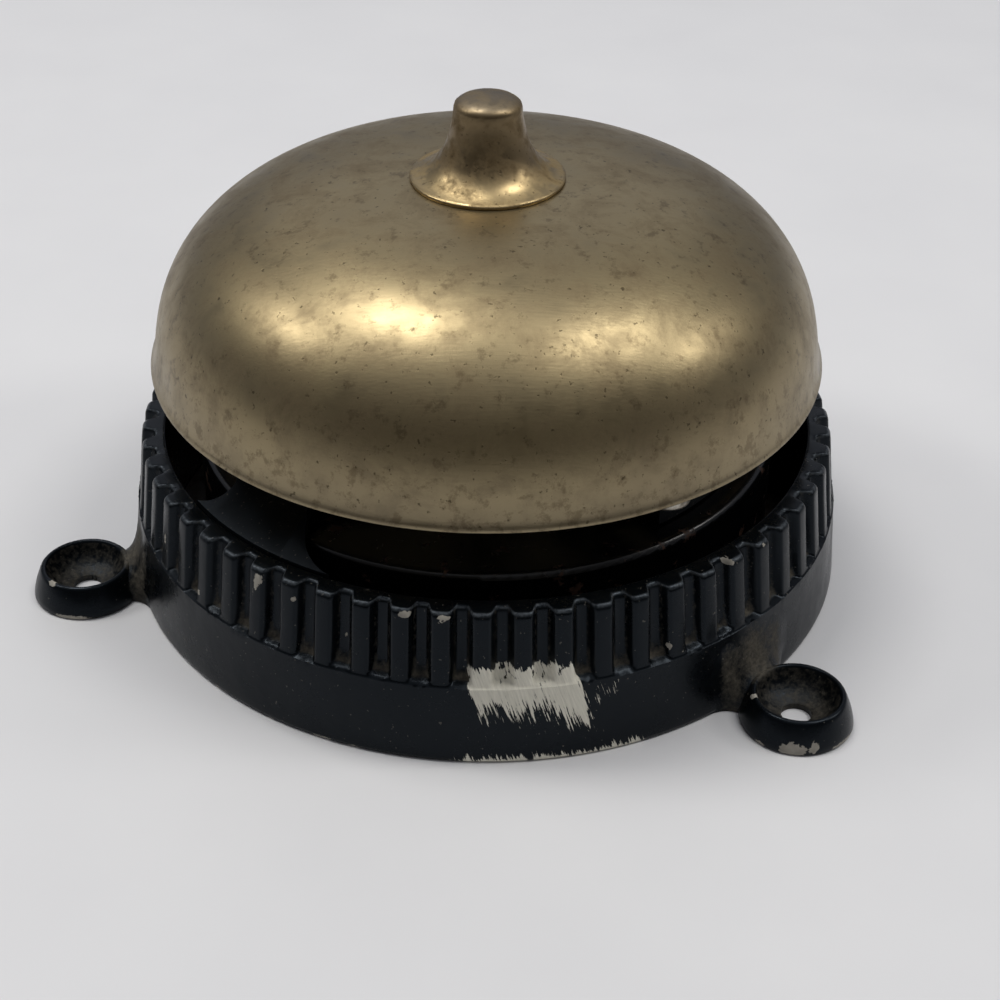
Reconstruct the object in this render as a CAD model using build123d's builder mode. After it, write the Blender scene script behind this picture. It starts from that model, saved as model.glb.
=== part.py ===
from build123d import *
import os
from math import acos, atan2, cos, degrees, hypot, pi, radians, sin, sqrt, tan

# Screw-down call bell: a brass gong over a cast ring with three screw lugs.
# The origin is on the gong's axis, in the plane of the base's foot. +Z is up and -Y is the front.
# Turning the gong winds a return spring and drives a rotor with two loose strikers through two gear stages.

# ---------------------------------------------------------------- driving dimensions, mm
# cast base ring
ring_inner_r = 51.2        # inside of the ring's wall
ring_wall = 3.9            # thickness at the flutes' ridges and at the top of the plain band
foot_spread = 1.0          # how far the foot stands outside the top of the band
band_h = 12.4              # height of the plain band
rim_z = 24.0               # top of the ring
rim_draft = 1.4            # how far the fluted wall leans in between the band and the rim
rim_lip = 1.3              # how far the rim stands inside the wall
rim_lip_h = 2.7
flute_count = 60
flute_r = 1.55             # radius of a flute's round bottom
flute_depth = 1.9
flute_step = 0.5           # plain strip between the band and the flutes' feet
ridge_azimuth = -84.1      # azimuth of one ridge, degrees

# screw lugs
lug_count = 3
lug_azimuth = 194.5        # azimuth of the first lug, degrees
lug_reach = 8.2            # from the foot's edge to a lug's axis
lug_foot_r = 8.25
lug_top_r = 6.6
lug_h = 4.9
lug_lip = 0.6              # flat lip round the lug's mouth
lug_floor = 1.2            # metal under the lug's bowl
lug_hole_r = 2.2
neck_w = 9.5
neck_flare = 0.85          # half width at the ring, as a share of the neck's width

# back plate and its screws
plate_recess = 0.5         # how far the plate lies above the foot
plate_t = 2.0
plate_gap = 0.1            # round the plate, inside the ring
boss_r = 3.1
boss_inset = 2.9           # from the inside of the ring to the circle of the plate's bosses
pad_boss_r = 2.7
pad_boss_inset = 2.3       # from the inside of the rim to the circle of the frame's bosses
foot_boss_h = 6.5
screw_r = 1.2
screw_head_r = 2.2
screw_head_h = 1.4
slot_w = 0.6

# spring case and mainspring
case_inset = 6.5           # from the inside of the ring to the spring case
case_top_z = 24.2
case_wall = 1.2
ear_w = 6.0
anchor_r = 1.2
hub_r = 8.0
hub_h = 16.2
hub_pin_r = 1.0
spring_t = 0.6
spring_turns = 7
spring_w = 17.0
spring_z = 4.5

# movement frame
frame_t = 2.6
frame_lift = 0.4           # between the spring case and the frame's middle
frame_gap = 0.25           # seam between the frame and the ring
pad_top_z = 24.2           # top of the frame's two pads, just above the rim
pad_len = 3.9              # radial length of a pad
rail_share = 0.616         # centre line of each rail, as a share of the frame's radius
rail_w = 11.0
cross_share = 0.564        # half length of the middle, as a share of the frame's radius
window_fillet_share = 0.181  # rail to pad, towards the middle
side_fillet = 3.5          # rail to pad, towards the side
web_fall = 2.7             # from the case's edge inwards to where the frame's top starts to fall
open_inset = 3.7           # from the case's edge to the frame's two open corners
cross_fillet_share = 0.121

# gear train
module_1 = 0.75            # great wheel and second pinion
great_teeth = 60
second_pinion_teeth = 12
module_2 = 0.7             # second wheel and rotor pinion
second_teeth = 40
rotor_pinion_teeth = 10
pressure = radians(25)
addendum = 0.85            # in modules
dedendum = 1.1             # in modules
tooth_thinning = 0.08      # taken off each tooth's thickness at the pitch circle
flank_steps = 3
great_wheel_t = 1.2
second_wheel_t = 1.0
collet_r = 8.0
collet_neck_r = 4.2
stud_r = 1.5
stud_flange_r = 3.0
stud_flange_t = 0.3
keeper_t = 0.5

# rotor and strikers
rotor_r = 26.0             # from the gong's axis to the rotor's
rotor_azimuth = -55.0      # azimuth of the rotor's axis, degrees
striker_pin_circle_r = 10.5
striker_pin_r = 1.25
striker_head_r = 3.2
striker_head_h = 8.0
striker_link_w = 5.0
striker_link_t = 1.4
striker_reach_gap = 0.5    # between a fully thrown striker and the gong
arm_w = 6.4
arm_t = 1.6

# winding arbor
arbor_r = 3.0
arbor_tip_r = 2.5          # threaded end under the knob
bush_wall = 2.0

# gong
gong_r = 50.15             # outside of the wall, just above the lip
gong_lip_r = 51.0
gong_lip_z = 35.4
gong_rise = 27.95          # from the lip to the crown
gong_wall = 1.8
gong_power_r = 0.62        # the superellipse's two powers
gong_power_z = 0.87
seat_r = 8.0
seat_t = 1.6
washer_r = 9.0
washer_t = 0.8

# knob
knob_foot_r = 11.4
knob_foot_t = 0.6
knob_top_r = 4.95
knob_h = 12.05             # above the crown
knob_edge = 1.2
knob_flare = (             # the shank's depth below the top, as a share of knob_h, and its radius
    (0.2, 5.05),
    (0.315, 5.3),
    (0.55, 6.0),
    (0.7, 6.95),
    (0.765, 7.6),
    (0.84, 8.75),
    (0.905, 10.1),
)
knob_grip = 3.5            # metal above the arbor's end

# clearances
seat_gap = 0.02            # pressed, riveted and screwed pieces, on the radius
running_gap = 0.05         # a turning piece on its stud or in its bush, on the radius
shake = 0.3                # end play, and space between pieces that pass each other

os.makedirs("parts", exist_ok=True)


# ---------------------------------------------------------------- derived places
band_top_r = ring_inner_r + ring_wall
foot_r = band_top_r + foot_spread
lug_circle_r = foot_r + lug_reach
boss_circle_r = ring_inner_r - boss_inset
rim_outer_r = band_top_r - rim_draft
rim_inner_r = ring_inner_r - rim_lip
pad_circle_r = rim_inner_r - pad_boss_inset
pad_boss_reach = ring_inner_r - pad_circle_r + 0.5
case_r = ring_inner_r - case_inset
plate_top_z = plate_recess + plate_t
flute_floor_z = band_h + flute_step
plate_screw_azimuth = lug_azimuth + 180 / lug_count
frame_top_z = case_top_z + frame_lift + frame_t
frame_r = rim_inner_r - frame_gap
pad_under_z = pad_top_z - frame_t
rail_x = rail_share * frame_r
cross_half_y = cross_share * frame_r
window_fillet = window_fillet_share * frame_r
cross_fillet = cross_fillet_share * frame_r
pad_azimuth = degrees(acos(rail_x / pad_circle_r))
pad_azimuths = [pad_azimuth, 180 + pad_azimuth]

bush_flange_top_z = plate_top_z + 3.0
hub_z = bush_flange_top_z + shake
frame_bush_flange_t = 0.5

stage_1_centres = module_1 * (great_teeth + second_pinion_teeth) / 2
stage_2_centres = module_2 * (second_teeth + rotor_pinion_teeth) / 2
rotor_x = rotor_r * cos(radians(rotor_azimuth))
rotor_y = rotor_r * sin(radians(rotor_azimuth))
triangle_cos = (stage_1_centres**2 + rotor_r**2 - stage_2_centres**2) / (2 * stage_1_centres * rotor_r)
second_azimuth = rotor_azimuth + degrees(acos(triangle_cos))
second_x = stage_1_centres * cos(radians(second_azimuth))
second_y = stage_1_centres * sin(radians(second_azimuth))
second_to_rotor = degrees(atan2(rotor_y - second_y, rotor_x - second_x))

stud_flange_top_z = frame_top_z + stud_flange_t
second_wheel_z = stud_flange_top_z + shake
second_pinion_z = second_wheel_z + second_wheel_t
great_wheel_z = second_pinion_z + shake
great_wheel_top_z = great_wheel_z + great_wheel_t
second_top_z = great_wheel_top_z + 0.1
second_keeper_z = second_top_z + shake / 2
second_stud_top_z = second_keeper_z + keeper_t
collet_z = frame_top_z + frame_bush_flange_t + shake
collet_top_z = great_wheel_top_z + 0.8

striker_z = second_stud_top_z + 0.4
striker_top_z = striker_z + striker_head_h
rotor_shoulder_z = collet_top_z
arm_z = rotor_shoulder_z + 1.8
arm_top_z = arm_z + arm_t
link_z = arm_top_z + shake
link_top_z = link_z + striker_link_t
striker_washer_z = link_top_z + shake
striker_pin_top_z = striker_washer_z + keeper_t
rotor_boss_top_z = arm_top_z + 0.8
rotor_keeper_z = rotor_boss_top_z + shake
rotor_stud_top_z = rotor_keeper_z + keeper_t + 0.4


def gong_radius(z, wall):
    """Radius of the gong's outside, or of its inside with its wall taken off, at a height above the lip."""
    share = (z - gong_lip_z) / (gong_rise - wall)
    sine = share ** (1 / gong_power_z)
    return (gong_r - wall) * sqrt(1 - sine**2) ** gong_power_r


def gong_height(r, wall):
    """Height of the gong's outside, or of its inside with its wall taken off, at a radius."""
    cosine = (r / (gong_r - wall)) ** (1 / gong_power_r)
    return gong_lip_z + (gong_rise - wall) * sqrt(1 - cosine**2) ** gong_power_z


striker_tip_r = gong_radius(striker_top_z, gong_wall) - rotor_r - striker_reach_gap
striker_arm = striker_tip_r - striker_head_r - striker_pin_circle_r
washer_top_z = gong_height(washer_r, gong_wall) - seat_gap
washer_z = washer_top_z - washer_t
crown_z = gong_lip_z + gong_rise
knob_top_z = crown_z + knob_h
arbor_top_z = knob_top_z - knob_grip


def save(part, name):
    part.label = name
    export_step(part, f"parts/{name}.step")


def tooth_points(module, teeth, phase):
    """Outline of a spur gear with involute flanks and a tooth centred on the phase angle, in degrees."""
    pitch_r = module * teeth / 2
    base_r = pitch_r * cos(pressure)
    tip_r = pitch_r + addendum * module
    root_r = pitch_r - dedendum * module
    start_r = max(base_r, root_r)
    half_pitch_tooth = pi / (2 * teeth) - tooth_thinning / (2 * pitch_r)
    half_base_tooth = half_pitch_tooth + tan(pressure) - pressure
    flank = []
    if base_r > root_r:
        flank.append((root_r, half_base_tooth))
    for step in range(flank_steps + 1):
        r = start_r + (tip_r - start_r) * step / flank_steps
        roll = acos(min(1, base_r / r))
        flank.append((r, half_base_tooth - tan(roll) + roll))
    points = []
    for tooth in range(teeth):
        centre = radians(phase) + 2 * pi * tooth / teeth
        for r, half in flank:
            points.append((r * cos(centre - half), r * sin(centre - half)))
        for r, half in reversed(flank):
            points.append((r * cos(centre + half), r * sin(centre + half)))
    return points


# ---------------------------------------------------------------- cast base ring
def lug_plan(azimuth, r):
    return (r * cos(radians(azimuth)), r * sin(radians(azimuth)))


flute_centre_r = band_top_r - flute_depth + flute_r
first_flute_azimuth = ridge_azimuth + 180 / flute_count
flute_lean = degrees(atan2(rim_draft, rim_z - band_h))
lug_azimuths = [lug_azimuth + i * 360 / lug_count for i in range(lug_count)]
lug_places = [lug_plan(azimuth, lug_circle_r) for azimuth in lug_azimuths]

with BuildPart() as base_ring:
    # wall: plain tapered band, then the collar that the flutes are cut in
    with BuildSketch(Plane.XZ):
        with BuildLine():
            Polyline(
                (ring_inner_r, 0),
                (foot_r, 0),
                (band_top_r, band_h),
                (rim_outer_r, rim_z),
                (rim_inner_r, rim_z),
                (rim_inner_r, rim_z - rim_lip_h),
                (ring_inner_r, rim_z - rim_lip_h - rim_lip),
                close=True,
            )
        make_face()
    revolve(axis=Axis.Z)
    # necks: as wide as the lug's root, flared into the ring, as high as the band at the ring
    for azimuth in lug_azimuths:
        neck_plane = Plane.XY.rotated((0, 0, azimuth))
        with BuildSketch(neck_plane):
            with BuildLine():
                root_half = neck_w / 2
                flare_half = neck_w * neck_flare
                waist_r = foot_r + 1.0
                inner_r = (ring_inner_r + band_top_r) / 2
                Line((inner_r, -flare_half), (inner_r, flare_half))
                Spline((inner_r, flare_half), (foot_r - 1.6, root_half + 1.1), (waist_r, root_half))
                Line((waist_r, root_half), (lug_circle_r, root_half))
                Line((lug_circle_r, root_half), (lug_circle_r, -root_half))
                Line((lug_circle_r, -root_half), (waist_r, -root_half))
                Spline((waist_r, -root_half), (foot_r - 1.6, -root_half - 1.1), (inner_r, -flare_half))
            make_face()
        extrude(amount=lug_h - 0.1)
        side_plane = Plane.XZ.rotated((0, 0, azimuth))
        with BuildSketch(side_plane):
            with BuildLine():
                neck_top = (band_top_r - 0.6, band_h - 0.4)
                neck_end = (lug_circle_r - lug_top_r + 0.4, lug_h - 0.2)
                Polyline(neck_end, (neck_end[0], 1.0), (neck_top[0], 1.0), neck_top)
                ThreePointArc(neck_top, (foot_r + 0.2, lug_h + 2.2), neck_end)
            make_face()
        extrude(amount=neck_w / 2, both=True)
    # lugs: tapered cups
    for azimuth in lug_azimuths:
        lug_plane = Plane(origin=(*lug_plan(azimuth, lug_circle_r), 0))
        with BuildSketch(lug_plane):
            Circle(lug_foot_r)
        with BuildSketch(lug_plane.offset(lug_h)):
            Circle(lug_top_r)
        loft()
    # round bowl and screw hole in each lug
    for azimuth in lug_azimuths:
        lug_plane = Plane(origin=(*lug_plan(azimuth, lug_circle_r), 0))
        with BuildSketch(lug_plane.offset(lug_floor)):
            Circle(lug_hole_r + 1.0)
        with BuildSketch(lug_plane.offset(lug_h)):
            Circle(lug_top_r - lug_lip)
        loft(mode=Mode.SUBTRACT)
        with BuildSketch(lug_plane):
            Circle(lug_hole_r)
        extrude(amount=lug_h, mode=Mode.SUBTRACT)
    # bosses inside the wall: three for the back plate, two under the frame's pads
    with BuildSketch(Plane.XY.offset(plate_top_z)):
        with PolarLocations(boss_circle_r, lug_count, start_angle=plate_screw_azimuth):
            Circle(boss_r)
    extrude(amount=foot_boss_h)
    with BuildSketch(Plane.XY.offset(pad_under_z - foot_boss_h + screw_head_h)):
        for azimuth in pad_azimuths:
            with PolarLocations(pad_circle_r, 1, start_angle=azimuth):
                Circle(pad_boss_r)
            with PolarLocations(pad_circle_r + pad_boss_reach / 2, 1, start_angle=azimuth):
                Rectangle(pad_boss_reach, 2 * pad_boss_r)
    extrude(amount=foot_boss_h - screw_head_h)
    # tapped holes for the plate, clearance holes for the frame's screws
    with BuildSketch(Plane.XY.offset(plate_top_z)):
        with PolarLocations(boss_circle_r, lug_count, start_angle=plate_screw_azimuth):
            Circle(screw_r)
    extrude(amount=foot_boss_h, mode=Mode.SUBTRACT)
    with BuildSketch(Plane.XY.offset(pad_under_z)):
        with Locations([lug_plan(azimuth, pad_circle_r) for azimuth in pad_azimuths]):
            Circle(screw_r)
    extrude(amount=-foot_boss_h, mode=Mode.SUBTRACT)
    # flutes, cut along the leaning wall and open at the rim
    with PolarLocations(flute_centre_r, flute_count, start_angle=first_flute_azimuth):
        with Locations(Location((0, 0, flute_floor_z), (0, -flute_lean, 0))):
            Cylinder(flute_r, band_h, align=(Align.CENTER, Align.CENTER, Align.MIN), mode=Mode.SUBTRACT)
save(base_ring.part, "base_ring")

# ---------------------------------------------------------------- back plate, its screws and the arbor's lower bush
bush_r = arbor_r + bush_wall
ear_screw_r = ring_inner_r - ear_w / 2 - shake
anchor_circle_r = case_r - case_wall - anchor_r - seat_gap

with BuildPart() as back_plate:
    with BuildSketch(Plane.XY.offset(plate_recess)):
        Circle(ring_inner_r - plate_gap)
        Circle(bush_r + seat_gap, mode=Mode.SUBTRACT)
        with Locations((anchor_circle_r, 0)):
            Circle(anchor_r + seat_gap, mode=Mode.SUBTRACT)
        with PolarLocations(ear_screw_r, lug_count, start_angle=lug_azimuth):
            Circle(screw_r, mode=Mode.SUBTRACT)
    extrude(amount=plate_t)
    with Locations(Plane.XY.offset(plate_recess)):
        with PolarLocations(boss_circle_r, lug_count, start_angle=plate_screw_azimuth):
            with Locations(Rotation(180, 0, 0)):
                CounterSinkHole(screw_r, screw_head_r)
save(back_plate.part, "back_plate")

with BuildPart() as back_plate_screws:
    with BuildSketch(Plane.XZ):
        with BuildLine():
            head_depth = screw_head_r - screw_r
            Polyline(
                (0, plate_recess),
                (screw_head_r - 2 * seat_gap, plate_recess),
                (screw_r - seat_gap, plate_recess + head_depth - seat_gap),
                (screw_r - seat_gap, plate_top_z + foot_boss_h - 1.0),
                (0, plate_top_z + foot_boss_h - 1.0),
                close=True,
            )
        make_face()
    revolve(axis=Axis.Z)
    with BuildSketch(Plane.XY.offset(plate_recess)):
        Rectangle(2 * screw_head_r, slot_w)
    extrude(amount=0.5, mode=Mode.SUBTRACT)
plate_screw = back_plate_screws.part
with BuildPart() as back_plate_screws:
    with PolarLocations(boss_circle_r, lug_count, start_angle=plate_screw_azimuth):
        add(plate_screw)
save(back_plate_screws.part, "back_plate_screws")

with BuildPart() as lower_bush:
    with BuildSketch(Plane.XY.offset(plate_recess + 0.2)):
        Circle(bush_r)
    extrude(amount=plate_t - 0.2)
    with BuildSketch(Plane.XY.offset(plate_top_z)):
        Circle(bush_r + 2.0)
    extrude(amount=bush_flange_top_z - plate_top_z)
    with BuildSketch():
        Circle(arbor_r + running_gap)
    extrude(amount=bush_flange_top_z, mode=Mode.SUBTRACT)
save(lower_bush.part, "lower_bush")

# ---------------------------------------------------------------- spring case, its screws, the mainspring and its anchor
with BuildPart() as spring_case:
    with BuildSketch(Plane.XY.offset(plate_top_z)):
        Circle(case_r)
    extrude(amount=case_top_z - plate_top_z)
    fillet(spring_case.edges().group_by(Axis.Z)[-1], case_wall * 0.8)
    # three ears round the foot
    with BuildSketch(Plane.XY.offset(plate_top_z)):
        with PolarLocations(case_r - case_wall, lug_count, start_angle=lug_azimuth):
            SlotCenterToCenter(2 * (ear_screw_r - case_r + case_wall), ear_w)
    extrude(amount=case_wall)
    with BuildSketch(Plane.XY.offset(plate_top_z)):
        Circle(case_r - case_wall)
    extrude(amount=case_top_z - plate_top_z - case_wall, mode=Mode.SUBTRACT)
    with BuildSketch(Plane.XY.offset(plate_top_z)):
        Circle(arbor_r + 1.2)
        with PolarLocations(ear_screw_r, lug_count, start_angle=lug_azimuth):
            Circle(screw_r)
    extrude(amount=case_top_z, mode=Mode.SUBTRACT)
save(spring_case.part, "spring_case")


def cheese_head_screw(foot_z, head_z, up):
    """A slotted screw on the axis, from its tip to its head, with the head above or below head_z."""
    side = 1 if up else -1
    with BuildPart() as screw:
        with BuildSketch(Plane.XY.offset(head_z)):
            Circle(screw_head_r)
        extrude(amount=side * screw_head_h)
        with BuildSketch(Plane.XY.offset(head_z)):
            Circle(screw_r - seat_gap)
        extrude(amount=foot_z - head_z)
        with BuildSketch(Plane.XY.offset(head_z + side * screw_head_h)):
            Rectangle(2 * screw_head_r, slot_w)
        extrude(amount=-side * 0.6, mode=Mode.SUBTRACT)
    return screw.part


case_screw = cheese_head_screw(plate_recess + 0.2, plate_top_z + case_wall, True)
with BuildPart() as spring_case_screws:
    with PolarLocations(ear_screw_r, lug_count, start_angle=lug_azimuth):
        add(case_screw)
save(spring_case_screws.part, "spring_case_screws")

with BuildPart() as spring_anchor:
    with BuildSketch(Plane.XY.offset(plate_recess + 0.2)):
        with Locations((anchor_circle_r, 0)):
            Circle(anchor_r)
    extrude(amount=case_top_z - case_wall - 2 * seat_gap - plate_recess - 0.2)
    chamfer(spring_anchor.edges().group_by(Axis.Z)[-1], 0.2)
save(spring_anchor.part, "spring_anchor")

# the mainspring's coils are half turns about two centres, so the last one ends against the anchor
spring_outer_r = anchor_circle_r - anchor_r - 0.1
spring_start_r = hub_r + shake + spring_t / 2
spring_step = (spring_outer_r - spring_t / 2 - spring_start_r) / (2 * spring_turns)
with BuildPart() as mainspring:
    with BuildSketch(Plane.XY.offset(spring_z)):
        with BuildLine():
            for half in range(2 * spring_turns):
                centre = (0 if half % 2 == 0 else spring_step, 0)
                coil_r = spring_start_r + half * spring_step
                CenterArc(centre, coil_r - spring_t / 2, 180 * (half % 2), 180)
                CenterArc(centre, coil_r + spring_t / 2, 180 * (half % 2), 180)
            Line((spring_start_r - spring_t / 2, 0), (spring_start_r + spring_t / 2, 0))
            spring_end = spring_start_r + 2 * spring_turns * spring_step
            Line((spring_end - spring_t / 2, 0), (spring_end + spring_t / 2, 0))
        make_face()
    extrude(amount=spring_w)
save(mainspring.part, "mainspring")

# ---------------------------------------------------------------- movement frame, its screws and bush
pad_holes = [lug_plan(azimuth, pad_circle_r) for azimuth in pad_azimuths]
with BuildPart() as movement_frame:
    with BuildSketch(Plane.XY.offset(pad_under_z)) as frame_plan:
        Circle(frame_r + 20)
        Circle(frame_r + 0.15, mode=Mode.SUBTRACT)
        with Locations((-rail_x, 0), (rail_x, 0)):
            Rectangle(rail_w, 2 * frame_r)
        Rectangle(2 * rail_x, 2 * cross_half_y)
        corners = frame_plan.vertices()
        rim_corners = [v for v in corners if abs(hypot(v.X, v.Y) - frame_r - 0.15) < 0.01]
        fillet([v for v in rim_corners if abs(v.X) < rail_x], window_fillet)
        corners = frame_plan.vertices()
        rim_corners = [v for v in corners if abs(hypot(v.X, v.Y) - frame_r - 0.15) < 0.01]
        outer_x = rail_x + rail_w / 2
        fillet([v for v in rim_corners if abs(abs(v.X) - outer_x) < 0.01], side_fillet)
        inner_x = rail_x - rail_w / 2
        corners = frame_plan.vertices()
        fillet(
            [v for v in corners if abs(abs(v.X) - inner_x) < 0.01 and abs(abs(v.Y) - cross_half_y) < 0.01],
            cross_fillet,
        )
        Circle(frame_r, mode=Mode.INTERSECT)
        # the other two corners stop short of the spring case's edge, so its rim shows there
        with BuildSketch(mode=Mode.PRIVATE) as open_corners:
            with Locations((frame_r, -frame_r), (-frame_r, frame_r)):
                Rectangle(2 * frame_r, 2 * frame_r)
            Circle(case_r - open_inset, mode=Mode.SUBTRACT)
        add(open_corners.sketch, mode=Mode.SUBTRACT)
    extrude(amount=frame_top_z - pad_under_z)
    # the middle is raised over the spring case, the two pads are let down to the rim
    pad_start_r = frame_r - pad_len
    with BuildSketch(Plane.XZ):
        with BuildLine():
            Polyline(
                (0, frame_top_z - frame_t),
                (case_r + 0.6, frame_top_z - frame_t),
                (pad_start_r, pad_under_z),
                (frame_r + 1, pad_under_z),
                (frame_r + 1, pad_top_z),
                (frame_r, pad_top_z),
                (case_r - web_fall, frame_top_z),
                (0, frame_top_z),
                close=True,
            )
        make_face()
    revolve(axis=Axis.Z, mode=Mode.INTERSECT)
    with BuildSketch(Plane.XY.offset(pad_under_z)):
        with Locations(pad_holes):
            Circle(screw_r)
    extrude(amount=frame_t - 0.4, mode=Mode.SUBTRACT)
    with BuildSketch(Plane.XY.offset(pad_under_z)):
        Circle(bush_r - 0.5 + seat_gap)
        with Locations((second_x, second_y), (rotor_x, rotor_y)):
            Circle(stud_r + seat_gap)
    extrude(amount=frame_top_z, mode=Mode.SUBTRACT)
save(movement_frame.part, "movement_frame")

frame_screw = cheese_head_screw(pad_top_z - 0.8, pad_under_z - foot_boss_h + screw_head_h, False)
with BuildPart() as frame_screws:
    with Locations([Location((x, y, 0)) for x, y in pad_holes]):
        add(frame_screw)
save(frame_screws.part, "frame_screws")

with BuildPart() as frame_bush:
    with BuildSketch(Plane.XY.offset(frame_top_z - frame_t)):
        Circle(bush_r - 0.5)
    extrude(amount=frame_t)
    with BuildSketch(Plane.XY.offset(frame_top_z)):
        Circle(bush_r + 1.0)
    extrude(amount=frame_bush_flange_t)
    with BuildSketch():
        Circle(arbor_r + running_gap)
    extrude(amount=frame_top_z + frame_bush_flange_t, mode=Mode.SUBTRACT)
save(frame_bush.part, "frame_bush")


def shouldered_stud(x, y, top_z, flange_r):
    """A stud riveted in the frame, with a thin flange that carries the wheel."""
    with BuildPart() as stud:
        with BuildSketch(Plane.XY.offset(frame_top_z - frame_t + 0.1)):
            with Locations((x, y)):
                Circle(stud_r)
        extrude(amount=top_z - frame_top_z + frame_t - 0.1)
        chamfer(stud.edges().group_by(Axis.Z)[-1], 0.2)
        with BuildSketch(Plane.XY.offset(frame_top_z)):
            with Locations((x, y)):
                Circle(flange_r)
        extrude(amount=stud_flange_t)
    return stud.part


def keeper(x, y, z, r):
    """A push-on washer near a stud's top, with the slit that lets it spring."""
    with BuildPart() as washer:
        with BuildSketch(Plane.XY.offset(z)):
            with Locations((x, y)):
                Circle(r)
                Circle(stud_r + seat_gap, mode=Mode.SUBTRACT)
            with Locations((x + r, y)):
                Rectangle(2 * (r - stud_r), 0.5, mode=Mode.SUBTRACT)
        extrude(amount=keeper_t - 0.1)
    return washer.part


keeper_r = stud_r + 1.1
save(shouldered_stud(second_x, second_y, second_stud_top_z, stud_flange_r), "second_stud")
save(keeper(second_x, second_y, second_keeper_z, keeper_r), "second_keeper")
save(shouldered_stud(rotor_x, rotor_y, rotor_stud_top_z, keeper_r), "rotor_stud")
save(keeper(rotor_x, rotor_y, rotor_keeper_z, keeper_r), "rotor_keeper")

# ---------------------------------------------------------------- winding arbor, its spring hub and the hub's pin
hub_pin_z = hub_z + hub_h / 2
with BuildPart() as winding_arbor:
    with BuildSketch(Plane.XY.offset(plate_recess + shake)):
        Circle(arbor_r)
    extrude(amount=washer_z - plate_recess - shake)
    with BuildSketch(Plane.XY.offset(washer_z)):
        Circle(arbor_tip_r)
    extrude(amount=arbor_top_z - washer_z)
    chamfer(winding_arbor.edges().group_by(Axis.Z)[-1], 0.4)
    with BuildSketch(Plane.YZ):
        with Locations((0, hub_pin_z)):
            Circle(hub_pin_r + seat_gap)
    extrude(amount=arbor_r + 1, both=True, mode=Mode.SUBTRACT)
save(winding_arbor.part, "winding_arbor")

with BuildPart() as arbor_hub:
    with BuildSketch(Plane.XY.offset(hub_z)):
        Circle(hub_r)
        Circle(arbor_r + seat_gap, mode=Mode.SUBTRACT)
    extrude(amount=hub_h)
    with BuildSketch(Plane.YZ):
        with Locations((0, hub_pin_z)):
            Circle(hub_pin_r + seat_gap)
    extrude(amount=hub_r + 1, both=True, mode=Mode.SUBTRACT)
save(arbor_hub.part, "arbor_hub")

with BuildPart() as hub_pin:
    with BuildSketch(Plane.YZ):
        with Locations((0, hub_pin_z)):
            Circle(hub_pin_r)
    extrude(amount=hub_r - 0.2, both=True)
save(hub_pin.part, "hub_pin")

# ---------------------------------------------------------------- great wheel on its collet
with BuildPart() as great_wheel_collet:
    with BuildSketch(Plane.XY.offset(collet_z)):
        Circle(collet_r)
    extrude(amount=great_wheel_z - collet_z)
    with BuildSketch(Plane.XY.offset(great_wheel_z)):
        Circle(collet_neck_r)
    extrude(amount=collet_top_z - great_wheel_z)
    with BuildSketch():
        Circle(arbor_r + seat_gap)
    extrude(amount=collet_top_z, mode=Mode.SUBTRACT)
save(great_wheel_collet.part, "great_wheel_collet")

great_pitch_r = module_1 * great_teeth / 2
window_r = (great_pitch_r - 3 - collet_r) / 2 - 0.9
with BuildPart() as great_wheel:
    with BuildSketch(Plane.XY.offset(great_wheel_z)):
        with BuildLine():
            Polyline(tooth_points(module_1, great_teeth, second_azimuth), close=True)
        make_face()
        Circle(collet_neck_r + seat_gap, mode=Mode.SUBTRACT)
        with PolarLocations((great_pitch_r - 3 + collet_r) / 2, 6):
            Circle(window_r, mode=Mode.SUBTRACT)
    extrude(amount=great_wheel_t)
save(great_wheel.part, "great_wheel")

# ---------------------------------------------------------------- second wheel and its pinion, on the second stud
second_hub_r = stud_r + 1.5
second_pinion_phase = second_azimuth + 180 + 180 / second_pinion_teeth
with BuildPart() as second_pinion:
    with BuildSketch(Plane((second_x, second_y, second_pinion_z))):
        with BuildLine():
            Polyline(tooth_points(module_1, second_pinion_teeth, second_pinion_phase), close=True)
        make_face()
    extrude(amount=second_top_z - second_pinion_z)
    with BuildSketch(Plane((second_x, second_y, second_wheel_z))):
        Circle(second_hub_r)
    extrude(amount=second_wheel_t)
    with BuildSketch(Plane((second_x, second_y, second_wheel_z))):
        Circle(stud_r + running_gap)
    extrude(amount=second_top_z - second_wheel_z, mode=Mode.SUBTRACT)
save(second_pinion.part, "second_pinion")

second_pitch_r = module_2 * second_teeth / 2
with BuildPart() as second_wheel:
    with BuildSketch(Plane((second_x, second_y, second_wheel_z))):
        with BuildLine():
            Polyline(tooth_points(module_2, second_teeth, second_to_rotor), close=True)
        make_face()
        Circle(second_hub_r + seat_gap, mode=Mode.SUBTRACT)
        with PolarLocations(second_pitch_r * 0.58, 5):
            Circle(second_pitch_r * 0.17, mode=Mode.SUBTRACT)
    extrude(amount=second_wheel_t)
save(second_wheel.part, "second_wheel")

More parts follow.
